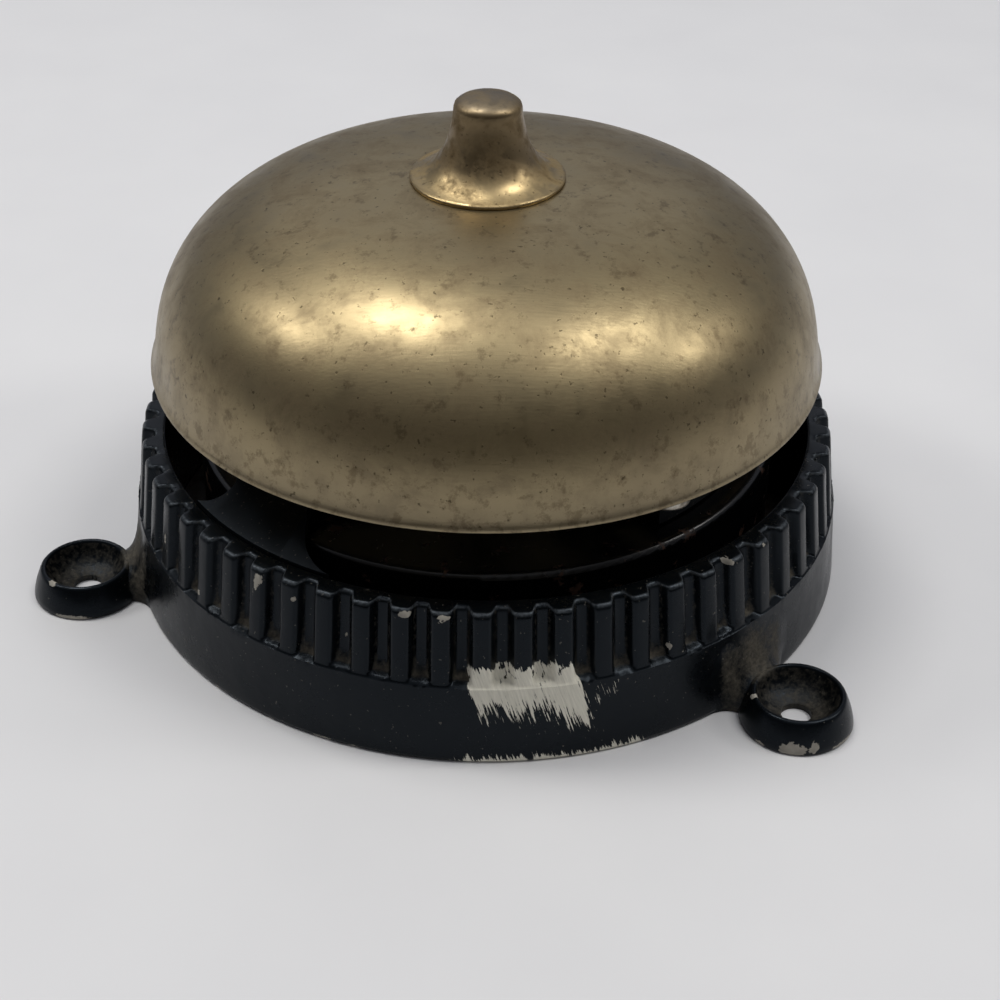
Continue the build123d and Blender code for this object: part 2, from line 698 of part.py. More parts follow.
# ---------------------------------------------------------------- rotor: pinion, arm, striker pins and washers
rotor_neck_r = stud_r + 0.9
rotor_boss_r = stud_r + 1.5
rotor_pinion_phase = second_to_rotor + 180 + 180 / rotor_pinion_teeth
with BuildPart() as rotor_pinion:
    with BuildSketch(Plane((rotor_x, rotor_y, second_wheel_z))):
        with BuildLine():
            Polyline(tooth_points(module_2, rotor_pinion_teeth, rotor_pinion_phase), close=True)
        make_face()
    extrude(amount=second_wheel_t + 0.2)
    with BuildSketch(Plane((rotor_x, rotor_y, second_wheel_z))):
        Circle(rotor_neck_r)
    extrude(amount=rotor_shoulder_z - second_wheel_z)
    with BuildSketch(Plane((rotor_x, rotor_y, rotor_shoulder_z))):
        Circle(rotor_boss_r + 1.5)
    extrude(amount=arm_z - rotor_shoulder_z)
    with BuildSketch(Plane((rotor_x, rotor_y, arm_z))):
        Circle(rotor_boss_r)
    extrude(amount=rotor_boss_top_z - arm_z)
    with BuildSketch(Plane((rotor_x, rotor_y, second_wheel_z))):
        Circle(stud_r + running_gap)
    extrude(amount=rotor_boss_top_z - second_wheel_z, mode=Mode.SUBTRACT)
save(rotor_pinion.part, "rotor_pinion")

rotor_plane = Plane((rotor_x, rotor_y, 0)).rotated((0, 0, rotor_azimuth))
pin_places = [(striker_pin_circle_r, 0), (-striker_pin_circle_r, 0)]
with BuildPart() as rotor_arm:
    with BuildSketch(rotor_plane.offset(arm_z)):
        SlotCenterToCenter(2 * striker_pin_circle_r, arm_w)
        Circle(rotor_boss_r + 1.6)
        Circle(rotor_boss_r + seat_gap, mode=Mode.SUBTRACT)
        with Locations(pin_places):
            Circle(striker_pin_r + seat_gap, mode=Mode.SUBTRACT)
    extrude(amount=arm_t)
save(rotor_arm.part, "rotor_arm")

with BuildPart() as striker_pins:
    with BuildSketch(rotor_plane.offset(arm_z)):
        with Locations(pin_places):
            Circle(striker_pin_r)
    extrude(amount=striker_pin_top_z - arm_z)
    chamfer(striker_pins.edges().group_by(Axis.Z)[-1], 0.2)
save(striker_pins.part, "striker_pins")

with BuildPart() as striker_washers:
    with BuildSketch(rotor_plane.offset(striker_washer_z)):
        with Locations(pin_places):
            Circle(striker_pin_r + 1.1)
            Circle(striker_pin_r + seat_gap, mode=Mode.SUBTRACT)
    extrude(amount=keeper_t - 0.2)
save(striker_washers.part, "striker_washers")


def striker(side):
    """A loose hammer, thrown straight out from its pin: a flat link and a round head."""
    pin_x = side * striker_pin_circle_r
    head_x = side * (striker_pin_circle_r + striker_arm)
    with BuildPart() as hammer:
        with BuildSketch(rotor_plane.offset(striker_z)):
            with Locations((head_x, 0)):
                Circle(striker_head_r)
        extrude(amount=striker_head_h)
        fillet(hammer.edges().filter_by(GeomType.CIRCLE), 0.6)
        with BuildSketch(rotor_plane.offset(link_z)):
            with Locations(((pin_x + head_x) / 2, 0)):
                SlotCenterToCenter(striker_arm, striker_link_w)
        extrude(amount=striker_link_t)
        with BuildSketch(rotor_plane.offset(link_z)):
            with Locations((pin_x, 0)):
                Circle(striker_pin_r + running_gap)
        extrude(amount=striker_link_t, mode=Mode.SUBTRACT)
    return hammer.part


save(striker(1), "striker_a")
save(striker(-1), "striker_b")

# ---------------------------------------------------------------- gong on its seat and washer
with BuildPart() as gong_seat:
    with BuildSketch(Plane.XY.offset(washer_z - seat_t)):
        Circle(seat_r)
        Circle(arbor_r + seat_gap, mode=Mode.SUBTRACT)
    extrude(amount=seat_t)
save(gong_seat.part, "gong_seat")

with BuildPart() as gong_washer:
    with BuildSketch(Plane.XY.offset(washer_z)):
        Circle(washer_r)
        Circle(arbor_tip_r + seat_gap, mode=Mode.SUBTRACT)
    extrude(amount=washer_t)
save(gong_washer.part, "gong_washer")


def dome_points(wall, steps):
    """Points up the gong's outside, or its inside, from just above the lip to the crown."""
    points = []
    for step in range(1, steps + 1):
        t = pi / 2 * step / steps
        r = (gong_r - wall) * max(0, cos(t)) ** gong_power_r
        z = gong_lip_z + (gong_rise - wall) * sin(t) ** gong_power_z
        points.append((r, z))
    points[-1] = (0, gong_lip_z + gong_rise - wall)
    return points


outside = dome_points(0, 14)
inside = dome_points(gong_wall, 14)
with BuildPart() as gong:
    with BuildSketch(Plane.XZ):
        with BuildLine():
            ThreePointArc(
                (gong_lip_r, gong_lip_z),
                (gong_radius(gong_lip_z + 1.8, 0) + 0.15, gong_lip_z + 1.8),
                outside[0],
            )
            Spline(*outside)
            Line(outside[-1], inside[-1])
            Spline(*reversed(inside))
            Line(inside[0], (gong_r - gong_wall, gong_lip_z))
            Line((gong_r - gong_wall, gong_lip_z), (gong_lip_r, gong_lip_z))
        make_face()
    revolve(axis=Axis.Z)
    with BuildSketch(Plane.XY.offset(washer_z)):
        Circle(arbor_tip_r + running_gap)
    extrude(amount=gong_rise, mode=Mode.SUBTRACT)
save(gong.part, "gong")

# ---------------------------------------------------------------- winding knob
bore_r = arbor_tip_r + seat_gap
mid_foot_r = (knob_foot_r + bore_r) / 2
foot_edge_z = gong_height(knob_foot_r, 0) + seat_gap
shank_points = [(r, knob_top_z - depth * knob_h) for depth, r in knob_flare]
with BuildPart() as winding_knob:
    with BuildSketch(Plane.XZ):
        with BuildLine():
            Line((0, knob_top_z), (knob_top_r - knob_edge, knob_top_z))
            RadiusArc((knob_top_r - knob_edge, knob_top_z), (knob_top_r, knob_top_z - knob_edge), knob_edge)
            Spline(
                (knob_top_r, knob_top_z - knob_edge),
                *shank_points,
                (knob_foot_r, foot_edge_z + knob_foot_t),
                tangents=[(0, -1), (1, -0.3)],
            )
            Line((knob_foot_r, foot_edge_z + knob_foot_t), (knob_foot_r, foot_edge_z))
            ThreePointArc(
                (knob_foot_r, foot_edge_z),
                (mid_foot_r, gong_height(mid_foot_r, 0) + seat_gap),
                (bore_r, gong_height(bore_r, 0) + seat_gap),
            )
            Line((bore_r, gong_height(bore_r, 0) + seat_gap), (bore_r, arbor_top_z + 0.5))
            Line((bore_r, arbor_top_z + 0.5), (0, arbor_top_z + 0.5))
            Line((0, arbor_top_z + 0.5), (0, knob_top_z))
        make_face()
    revolve(axis=Axis.Z)
save(winding_knob.part, "winding_knob")
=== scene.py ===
from math import atan2, cos, degrees, exp, hypot, pi, radians, sin
from random import Random

import bmesh
import bpy
from mathutils import Matrix, Vector, noise


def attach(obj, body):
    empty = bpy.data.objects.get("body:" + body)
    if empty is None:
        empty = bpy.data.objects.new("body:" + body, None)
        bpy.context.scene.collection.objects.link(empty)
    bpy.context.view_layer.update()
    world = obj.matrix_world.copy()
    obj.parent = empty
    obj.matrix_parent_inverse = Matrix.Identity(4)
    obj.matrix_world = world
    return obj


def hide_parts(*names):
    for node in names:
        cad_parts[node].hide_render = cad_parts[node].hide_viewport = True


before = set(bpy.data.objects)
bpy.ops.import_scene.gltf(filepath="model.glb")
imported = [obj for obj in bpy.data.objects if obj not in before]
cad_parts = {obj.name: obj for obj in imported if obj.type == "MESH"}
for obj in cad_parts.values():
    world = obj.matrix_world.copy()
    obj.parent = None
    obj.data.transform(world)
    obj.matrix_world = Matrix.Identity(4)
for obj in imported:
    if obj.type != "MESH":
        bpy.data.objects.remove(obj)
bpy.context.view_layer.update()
mm = 0.001

# ---------------------------------------------------------------- camera
# A hand-held look down at the bell from the front, from about 0.3 m away.
camera_place = Vector((2.2, -257.1, 180.2)) * mm
camera_forward = Vector((0, 0.8287, -0.5597)).normalized()
camera_roll = 0.009
level_right = Vector((1, 0, 0))
level_up = level_right.cross(camera_forward)
camera_right = level_right * cos(camera_roll) + level_up * sin(camera_roll)
camera_up = level_up * cos(camera_roll) - level_right * sin(camera_roll)
camera_data = bpy.data.cameras.new("camera")
camera_data.sensor_width = 36
camera_data.lens = 68.9
camera_data.clip_start = 0.01
camera = bpy.data.objects.new("camera", camera_data)
bpy.context.scene.collection.objects.link(camera)
camera.matrix_world = Matrix((camera_right, camera_up, -camera_forward)).transposed().to_4x4()
camera.location = camera_place
bpy.context.scene.camera = camera

# ---------------------------------------------------------------- base ring
# A heavy ring of cast iron with sixty flutes round its collar and three cupped screw lugs, dipped in black
# japan and stoved. Years on a wall have chipped the crests, packed dirt into the flutes' pockets, and left
# a painter's brush mark on the front.
ring_inner_r = 51.2
lip_inner_r = 49.9
band_top_r = 55.1
foot_r = 56.1
band_h = 12.4
rim_z = 24.0
rim_draft = 1.4
flute_count = 60
flute_depth = 1.9
ledge = 0.22
ridge_azimuth = -84.1
pocket_z = 12.75
flute_pitch = 2 * pi * band_top_r / flute_count
lug_azimuths = [194.5, 314.5, 74.5]
lug_circle_r = 64.3
neck_half_w = 4.75

# one flute from its ridge to the bottom of its groove: distance round the ring, share of the depth
flute_half = [
    (0.0, 0.0), (0.8, 0.005), (1.1, 0.04), (1.3, 0.13), (1.48, 0.30), (1.65, 0.52),
    (1.82, 0.74), (2.0, 0.89), (2.2, 0.965), (2.5, 0.99), (flute_pitch / 2, 1.0),
]
flute_columns = flute_half + [(flute_pitch - x, share) for x, share in reversed(flute_half[1:-1])]


def smooth_step(low, high, value):
    """0 up to the low value and 1 from the high one, with an eased slope between."""
    t = min(1, max(0, (value - low) / (high - low)))
    return t * t * (3 - 2 * t)


def wall_r(z):
    """Radius over the ridges: the foot tapers up to the band, and the collar leans in above it."""
    if z < band_h:
        return foot_r - (foot_r - band_top_r) * z / band_h
    step_in = ledge * smooth_step(band_h, band_h + 0.2, z)
    return band_top_r - step_in - rim_draft * (z - band_h) / (rim_z - band_h)


def flute_share(from_ridge):
    """Share of the flute's depth at a distance from its ridge."""
    for (x, share), (next_x, next_share) in zip(flute_half, flute_half[1:]):
        if from_ridge <= next_x:
            return share + (next_share - share) * (from_ridge - x) / (next_x - x)
    return 1.0


def face_outwards(mesh):
    """Turns the faces of a closed mesh outwards."""
    turned = bmesh.new()
    turned.from_mesh(mesh)
    bmesh.ops.recalc_face_normals(turned, faces=turned.faces)
    turned.to_mesh(mesh)
    turned.free()


def finish_object(name, mesh, body, sharp_angle):
    """A mesh as a visible piece, smooth but for its sharp edges, riding on a body."""
    face_outwards(mesh)
    mesh.polygons.foreach_set("use_smooth", [True] * len(mesh.polygons))
    mesh.set_sharp_from_angle(angle=radians(sharp_angle))
    piece = bpy.data.objects.new(name, mesh)
    bpy.context.scene.collection.objects.link(piece)
    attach(piece, body)
    return piece


def lathe(profile, columns, centre=(0, 0), wobble=None):
    """Points and faces of a closed shape turned about a vertical axis. A profile may end on the axis."""
    points = []
    rows = []
    for r, z in profile:
        if r == 0:
            rows.append([len(points)] * columns)
            points.append((centre[0], centre[1], z))
            continue
        rows.append(list(range(len(points), len(points) + columns)))
        for column in range(columns):
            angle = 2 * pi * column / columns
            reach = r + (wobble(r, z, angle) if wobble else 0)
            points.append((centre[0] + reach * cos(angle), centre[1] + reach * sin(angle), z))
    closed = profile[0][0] != 0
    faces = []
    for i in range(len(rows) if closed else len(rows) - 1):
        low = rows[i]
        high = rows[(i + 1) % len(rows)]
        for column in range(columns):
            after = (column + 1) % columns
            corners = [low[column], low[after], high[after], high[column]]
            faces.append(list(dict.fromkeys(corners)))
    return points, faces


def temporary(name, points, faces):
    """An object from points in mm, for the booleans below."""
    mesh = bpy.data.meshes.new(name)
    mesh.from_pydata([Vector(p) * mm for p in points], [], faces)
    face_outwards(mesh)
    piece = bpy.data.objects.new(name, mesh)
    bpy.context.scene.collection.objects.link(piece)
    return piece


def combine(piece, tool, operation):
    """The mesh of one temporary object after a boolean with another, which is then gone."""
    step = piece.modifiers.new("combine", "BOOLEAN")
    step.operation = operation
    step.solver = "EXACT"
    step.object = tool
    view = bpy.context.evaluated_depsgraph_get()
    mesh = bpy.data.meshes.new_from_object(piece.evaluated_get(view))
    piece.modifiers.clear()
    piece.data = mesh
    bpy.data.objects.remove(tool)


# the rim's flat top is wavy at its outer edge and round from this radius inwards
blend_r = 50.4
# each row up and over the wall: height, radius over the ridges, how much of the flute shows, share of the
# way from the wavy outline to the round bore
ring_rows = [(0, 51.7, 0, 0), (0, 53.6, 0, 0), (0, 55.4, 0, 0), (0.1, 55.8, 0, 0), (0.35, 56.0, 0, 0)]
ring_rows += [(z, wall_r(z), 0, 0) for z in (0.8, 2, 4, 6, 8, 10, 11.4, 12.1)]
ring_rows += [(z, wall_r(z), 1, 0) for z in (
    12.4, 12.55, 12.7, 12.85, 13.0, 13.15, 13.35, 13.6, 14.0, 14.5)]
ring_rows += [(15.2 + 0.9 * i, wall_r(15.2 + 0.9 * i), 1, 0) for i in range(9)]
ring_rows += [(z, wall_r(z) - edge, 1, 0) for z, edge in (
    (23.0, 0), (23.25, 0.02), (23.5, 0.08), (23.72, 0.2), (23.9, 0.4), (rim_z, 0.7))]
ring_rows += [(rim_z, wall_r(rim_z) - 0.7, 1, 0.5), (rim_z, blend_r, 0, 1)]
ring_rows += [(23.94, 50.12, 0, 1), (23.8, 49.97, 0, 1)]
ring_rows += [(23.5, lip_inner_r, 0, 1), (21.3, lip_inner_r, 0, 1), (20.0, ring_inner_r, 0, 1)]
ring_rows += [(z, ring_inner_r, 0, 1) for z in (18, 14, 10, 6, 3, 0.4)]

# each flute a little deeper, shallower, aside or higher than its neighbours, as hand-cut patterns are
casting_wave_mm = 7
casting_grain_mm = 2.2
dirt_heap_mm = 0.6
chance = Random(11)
flute_vary = [(chance.uniform(0.9, 1.07), chance.uniform(-0.09, 0.09), chance.uniform(-0.15, 0.25))
              for _ in range(flute_count)]
ring_points = []
for z, row_r, shows, inward in ring_rows:
    for flute in range(flute_count):
        depth_vary, shift, lift = flute_vary[flute]
        for distance, share in flute_columns:
            groove = 1 - abs(distance - flute_pitch / 2) / (flute_pitch / 2)
            start_z = pocket_z + lift
            depth = flute_depth * depth_vary * share * shows
            depth *= smooth_step(start_z - 0.3, start_z + 0.3, z)
            heap = 0.42 * exp(-abs(z - start_z) / 0.9) * smooth_step(0.3, 0.9, share)
            depth *= 1 - heap
            azimuth = radians(ridge_azimuth) + (flute * flute_pitch + distance + shift * groove) / band_top_r
            r = row_r - depth
            if 0 < inward < 1:
                r = (1 - inward) * r + inward * blend_r
            place = Vector((r * cos(azimuth), r * sin(azimuth), z))
            if 0.8 < z and inward == 0:
                rough = 0.05 * noise.noise(place / casting_wave_mm)
                rough += 0.035 * noise.noise(place / casting_grain_mm)
                rough += 0.5 * heap * shows * noise.noise(place / dirt_heap_mm)
                r += rough
            if shows and z > 23.4 and inward < 1:
                z_here = z + 0.06 * noise.noise(place / 3) - 0.06
            else:
                z_here = z
            ring_points.append((r * cos(azimuth), r * sin(azimuth), z_here))
columns = flute_count * len(flute_columns)
ring_faces = []
for row in range(len(ring_rows)):
    low = row * columns
    high = (row + 1) % len(ring_rows) * columns
    for column in range(columns):
        after = (column + 1) % columns
        ring_faces.append((low + column, low + after, high + after, high + column))
ring = temporary("ring", ring_points, ring_faces)

# necks: half-round webs that flare into the band
neck_h = 4.45
neck_flare_w = 6.0
neck_flare_h = 8.0
neck_steps = 16
lug_columns = 72
# distances of a neck's sections from the axis
neck_sections = [53.0, 53.8, 54.5, 55.0, 55.4, 55.8, 56.2, 56.7, 57.2, 57.8, 58.6, 59.6, 60.6]
lug_outside = [
    (0, 0), (7.85, 0), (8.12, 0.12), (8.25, 0.4), (8.12, 1.2), (7.78, 2.4), (7.38, 3.5), (7.08, 4.2),
    (6.88, 4.62), (6.66, 4.84), (6.42, 4.9), (0, 4.9),
]
bowl = [
    (0, -1), (2.2, -1), (2.2, 0.95), (2.42, 1.12), (3.2, 1.4), (4.0, 1.8), (4.7, 2.35), (5.3, 3.1),
    (5.72, 3.9), (5.95, 4.5), (6.12, 4.8), (6.36, 4.95), (6.6, 6), (0, 6),
]
for azimuth in lug_azimuths:
    turn = radians(azimuth)
    neck_points = []
    for reach in neck_sections:
        half_w = neck_half_w + neck_flare_w * exp(-max(0, reach - 54.6) / 1.1)
        height = neck_h + neck_flare_h * exp(-max(0, reach - 55.0) / 0.95)
        neck_points.append((reach, -half_w, 0.02))
        for step in range(1, neck_steps):
            angle = pi * step / neck_steps
            across = -half_w * cos(angle)
            up = height * sin(angle) ** 0.62
            neck_points.append((reach, across, up))
        neck_points.append((reach, half_w, 0.02))
    in_section = neck_steps + 1
    neck_faces = [list(range(in_section)), list(range(len(neck_points) - in_section, len(neck_points)))]
    for section in range(len(neck_sections) - 1):
        start = section * in_section
        for step in range(in_section):
            after = (step + 1) % in_section
            next_start = start + in_section
            neck_faces.append((start + step, start + after, next_start + after, next_start + step))
    neck_points = [
        (x * cos(turn) - y * sin(turn), x * sin(turn) + y * cos(turn), z) for x, y, z in neck_points
    ]
    centre = (lug_circle_r * cos(turn), lug_circle_r * sin(turn))
    lug = temporary("lug", *lathe(lug_outside, lug_columns, centre))
    combine(lug, temporary("neck", neck_points, neck_faces), "UNION")
    combine(lug, temporary("bowl", *lathe(bowl, lug_columns, centre)), "DIFFERENCE")
    combine(ring, lug, "UNION")

# bosses inside the wall: three under the back plate's screws, two under the frame's
frame_pad = Vector((30.58, 36.47))
plate_screw_r = 48.3
plate_screw_azimuths = (254.5, 14.5, 134.5)
plate_boss_r = 3.1
pad_boss_r = 2.7
boss_reach = 4.2
boss_steps = 12
bosses = [(plate_screw_r * cos(radians(a)), plate_screw_r * sin(radians(a)), 2.6, 9.0, plate_boss_r)
          for a in plate_screw_azimuths]
bosses += [(side * frame_pad.x, side * frame_pad.y, 16.5, 21.6, pad_boss_r) for side in (-1, 1)]
for x, y, low, high, r in bosses:
    # a round column drawn out to the wall
    out = Vector((x, y)).normalized()
    points = []
    for z in (low, high):
        for step in range(boss_steps + 1):
            angle = atan2(out.y, out.x) + pi / 2 + pi * step / boss_steps
            points.append((x + r * cos(angle), y + r * sin(angle), z))
        for side in (1, -1):
            points.append((
                x + boss_reach * out.x + side * r * out.y, y + boss_reach * out.y - side * r * out.x, z))
    corners = boss_steps + 3
    faces = [list(range(corners)), list(range(2 * corners - 1, corners - 1, -1))]
    faces += [(i, (i + 1) % corners, (i + 1) % corners + corners, i + corners) for i in range(corners)]
    combine(ring, temporary("boss", points, faces), "UNION")
ring_mesh = ring.data
bpy.data.objects.remove(ring)
base_ring = finish_object("base_ring_casting", ring_mesh, "base", 38)
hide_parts("base_ring")

# chips through the japan: azimuth, height, half width, half height
chips = [
    (234.4, 22.4, 0.85, 0.95), (233.9, 21.2, 0.4, 0.7), (241.0, 21.6, 0.38, 0.36), (258.6, 23.2, 0.95, 0.5),
    (264.3, 23.3, 1.0, 0.38), (263.5, 22.4, 0.38, 1.0), (310.4, 23.6, 0.65, 0.45), (249.0, 17.0, 0.28, 0.5),
    (246.0, 0.2, 1.6, 0.4), (251.0, 0.15, 1.0, 0.3), (226.0, 0.2, 0.9, 0.3), (237.0, 0.15, 0.7, 0.25),
    (221.0, 14.2, 0.3, 0.45), (210.0, 17.5, 0.2, 1.2), (298.5, 14.6, 0.3, 0.7), (300.5, 13.2, 0.3, 0.3),
    (318.0, 23.5, 0.3, 0.3), (120.0, 23.4, 0.7, 0.5), (60.0, 22.8, 0.6, 0.8), (87.0, 23.5, 0.5, 0.4),
    (20.0, 0.3, 1.2, 0.35), (160.0, 0.2, 1.4, 0.35), (96.0, 0.2, 1.2, 0.3), (350.0, 0.2, 1.0, 0.3),
]
# chips on the lugs: which lug, direction from its centre, height, half width, half height
# the first lug's mark at 232 degrees on its top edge is partly a chip and partly a painted glint
lug_chips_and_glint = [
    (0, 262, 0.25, 3.2, 0.6), (0, 232, 4.75, 0.8, 0.35), (1, 259, 1.0, 2.3, 1.3), (1, 281, 1.4, 0.9, 1.1),
    (1, 318, 0.4, 2.8, 0.3), (1, 187, 4.7, 0.5, 0.4), (1, 225, 0.25, 1.0, 0.3), (2, 80, 0.4, 1.6, 0.4),
]
lug_centres = [(lug_circle_r * cos(radians(a)), lug_circle_r * sin(radians(a))) for a in lug_azimuths]


def turn_between(a, b):
    """The shorter way round from b to a, in degrees."""
    return (a - b + 180) % 360 - 180


def japan_fields(place):
    """Grime, chipping (with one painted glint on a lug), paint and rubbed-edge fields at a point of the ring,
    in mm; the rubbed edge is partly a painted highlight. Chips and paint rise above 0.
    """
    x, y, z = place
    r = hypot(x, y)
    azimuth = degrees(atan2(y, x)) % 360
    along = radians(turn_between(azimuth, ridge_azimuth)) * band_top_r % flute_pitch
    from_ridge = min(along, flute_pitch - along)
    fluted = 12.5 < z < 23.8 and r > 51.4
    hollow = smooth_step(0.2, 1.6, wall_r(z) - r) if fluted else 0
    grime = hollow * (0.3 + 0.85 * exp(-max(0, z - 13.0) / 0.9))
    if fluted:
        grime += 0.25 * hollow * smooth_step(1.4, 1.8, from_ridge) * smooth_step(2.3, 1.9, from_ridge)
    if r > 54:
        grime = max(grime, 0.3 * exp(-((z - 12.6) / 0.3) ** 2))
    if z > 23.6:
        grime = max(grime, 0.34 * smooth_step(52.6, 51.0, r))
    if r < 51.3 and z < 23.6:
        grime = 0.45
    chip_and_glint = -1.0
    nearest = 99.0
    for lug, (cx, cy) in enumerate(lug_centres):
        away = hypot(x - cx, y - cy)
        nearest = min(nearest, away)
        if away < 9.5:
            direction = degrees(atan2(y - cy, x - cx)) % 360
            for index, towards, height, half_w, half_h in lug_chips_and_glint:
                if index == lug and away > 5.9:
                    round_it = radians(turn_between(direction, towards)) * away
                    chip_and_glint = max(chip_and_glint, 1 - (round_it / half_w) ** 2 - ((z - height) / half_h) ** 2)
    for lug_azimuth in lug_azimuths:
        aside = radians(turn_between(azimuth, lug_azimuth)) * r
        if abs(aside) < 13 and r > 54.5:
            near_neck = exp(-((abs(aside) - 5.0) / 2.6) ** 2) * smooth_step(13.5, 9.0, z)
            near_neck *= smooth_step(60.5, 57.0, r)
            ridge = exp(-(aside / 4.5) ** 2) * smooth_step(54.6, 55.6, r) * smooth_step(60.5, 58.0, r)
            grime = max(grime, 0.8 * near_neck, 0.95 * ridge * smooth_step(3.0, 5.0, z))
    if nearest < 6.1 and z < 4.7:
        grime = max(grime, 0.7 - 0.15 * smooth_step(2.5, 5.5, nearest))
    if r > 51.5:
        for centre, height, half_w, half_h in chips:
            round_it = radians(turn_between(azimuth, centre)) * r
            if abs(round_it) < 6:
                chip_and_glint = max(chip_and_glint, 1 - (round_it / half_w) ** 2 - ((z - height) / half_h) ** 2)
    # the rim's crest edge: partly rubbed japan, partly a painted highlight along the rounded edge
    outline = abs(wall_r(rim_z) - 0.35 - flute_depth * flute_share(from_ridge) - r)
    rim_edge_wear_and_highlight = smooth_step(23.3, 23.75, z) * smooth_step(0.32, 0.08, outline) if r > 51.2 else 0
    paint = -1.0
    if r > 51.6 and 258 < azimuth < 304 and nearest > 9:
        slant = azimuth + 0.3 * (z - 12)
        window = min(smooth_step(267.9, 268.6, slant), smooth_step(285.0, 283.6, slant))
        top = 15.3 + 1.0 * noise.noise(Vector((azimuth * 0.9, 3.1, 0)))
        foot = 8.8 + 1.6 * noise.noise(Vector((slant * 0.9, 9.4, 0))) - 3.4 * smooth_step(279.5, 282, slant)
        thick = smooth_step(foot - 4.8, foot + 5.2, z) * smooth_step(top + 0.7, top - 0.6, z)
        paint = 2.0 * window * thick - 0.75
        paint -= 0.9 * smooth_step(0.12, 0.4, noise.noise(place / 0.9)) * smooth_step(12.2, 13.2, z)
        foot_run = smooth_step(264, 268, azimuth) * smooth_step(297, 292, azimuth) * smooth_step(1.5, 0.2, z)
        foot_thick = 0.7 + 0.6 * noise.noise(Vector((azimuth * 0.5, 4.0, 0)))
        paint = max(paint, 2.3 * foot_run * foot_thick - 0.75)
        flecks = smooth_step(285.5, 286.5, azimuth) * smooth_step(291.0, 289.5, azimuth)
        flecks *= smooth_step(8.0, 9.5, z) * smooth_step(12.5, 11.5, z)
        paint = max(paint, 0.62 * flecks - 0.75)
        if z > band_h:
            paint -= 0.5 * smooth_step(0.5, 1.4, wall_r(z) - r)
    return grime, chip_and_glint, paint, rim_edge_wear_and_highlight


# the brush was dragged a little aslant: mm round the ring for each mm down it
brush_slant = 0.3


def add_fields(piece, names, field):
    """Stores each named field, and the point unrolled round the axis in mm along the brush, on the points."""
    values = {name: [] for name in names}
    unrolled = []
    for vertex in piece.data.vertices:
        place = vertex.co / mm
        for name, value in zip(names, field(place)):
            values[name].append(value)
        r = hypot(place.x, place.y)
        from_front = radians(turn_between(degrees(atan2(place.y, place.x)), -90))
        unrolled += [from_front * band_top_r + brush_slant * place.z, r, place.z]
    for name in names:
        attribute = piece.data.attributes.new(name, "FLOAT", "POINT")
        attribute.data.foreach_set("value", values[name])
    attribute = piece.data.attributes.new("unrolled", "FLOAT_VECTOR", "POINT")
    attribute.data.foreach_set("vector", unrolled)


add_fields(base_ring, ["grime", "chip_and_glint", "paint", "rim_edge_wear_and_highlight"], japan_fields)


def colour(code, alpha=1.0):
    """An sRGB hex code as linear RGBA."""
    channels = [int(code[i:i + 2], 16) / 255 for i in (1, 3, 5)]
    linear = [c / 12.92 if c <= 0.04045 else ((c + 0.055) / 1.055) ** 2.4 for c in channels]
    return (*linear, alpha)


def add_node(tree, kind, inputs=None, **settings):
    """Adds a node, sets it up, and fills its sockets with values or with other nodes' results."""
    node = tree.nodes.new(kind)
    for setting, value in settings.items():
        setattr(node, setting, value)
    for name, value in (inputs or {}).items():
        socket = next(s for s in node.inputs if s.enabled and name in (s.name, s.identifier))
        if isinstance(value, bpy.types.Node):
            value = next(s for s in value.outputs if s.enabled)
        if isinstance(value, bpy.types.NodeSocket):
            tree.links.new(value, socket)
        else:
            socket.default_value = value
    return node


def new_material(name):
    """A new material, its node tree and its shader."""
    material = bpy.data.materials.new(name)
    material.use_nodes = True
    return material, material.node_tree, material.node_tree.nodes["Principled BSDF"]


def set_enamel(shader):
    """The weak, bluish reflection of japan."""
    shader.inputs["IOR"].default_value = 1.4
    shader.inputs["Specular IOR Level"].default_value = 0.3
    shader.inputs["Specular Tint"].default_value = colour("#d2e2f4")


# Black japan: a thick bituminous enamel, stoved hard. It gives a deep blue-black gloss with a slight
# orange-peel, dulled by a film of dust, with brown dirt where a cloth does not reach.
japan, tree, shader = new_material("black_japan_on_cast_iron")
place = add_node(tree, "ShaderNodeTexCoord").outputs["Object"]
unrolled = add_node(tree, "ShaderNodeAttribute", attribute_name="unrolled").outputs["Vector"]
grime = add_node(tree, "ShaderNodeAttribute", attribute_name="grime").outputs["Fac"]
chip_and_glint = add_node(tree, "ShaderNodeAttribute", attribute_name="chip_and_glint").outputs["Fac"]
paint = add_node(tree, "ShaderNodeAttribute", attribute_name="paint").outputs["Fac"]
rim_edge_wear_and_highlight = add_node(tree, "ShaderNodeAttribute", attribute_name="rim_edge_wear_and_highlight").outputs["Fac"]
peel_mm = 1.6
dust_mm = 9.0
dirt_mm = 0.9
chip_edge_mm = 0.5
dust_speck_mm = 0.55
streaks_per_mm = (3.4, 0.6, 0.28)
peel = add_node(tree, "ShaderNodeTexNoise", {"Vector": place, "Scale": 1 / (peel_mm * mm), "Detail": 2.0})
dust = add_node(tree, "ShaderNodeTexNoise", {
    "Vector": place, "Scale": 1 / (dust_mm * mm), "Detail": 6.0, "Roughness": 0.65})
dirt = add_node(tree, "ShaderNodeTexNoise", {
    "Vector": place, "Scale": 1 / (dirt_mm * mm), "Detail": 5.0, "Roughness": 0.7})
speck = add_node(tree, "ShaderNodeTexNoise", {
    "Vector": place, "Scale": 1 / (dust_speck_mm * mm), "Detail": 1.0})
edge = add_node(tree, "ShaderNodeTexNoise", {
    "Vector": place, "Scale": 1 / (chip_edge_mm * mm), "Detail": 3.0, "Roughness": 0.6})
body = add_node(tree, "ShaderNodeMix", {
    "Factor": dust, "A": colour("#030507"), "B": colour("#070a0d")}, data_type="RGBA")
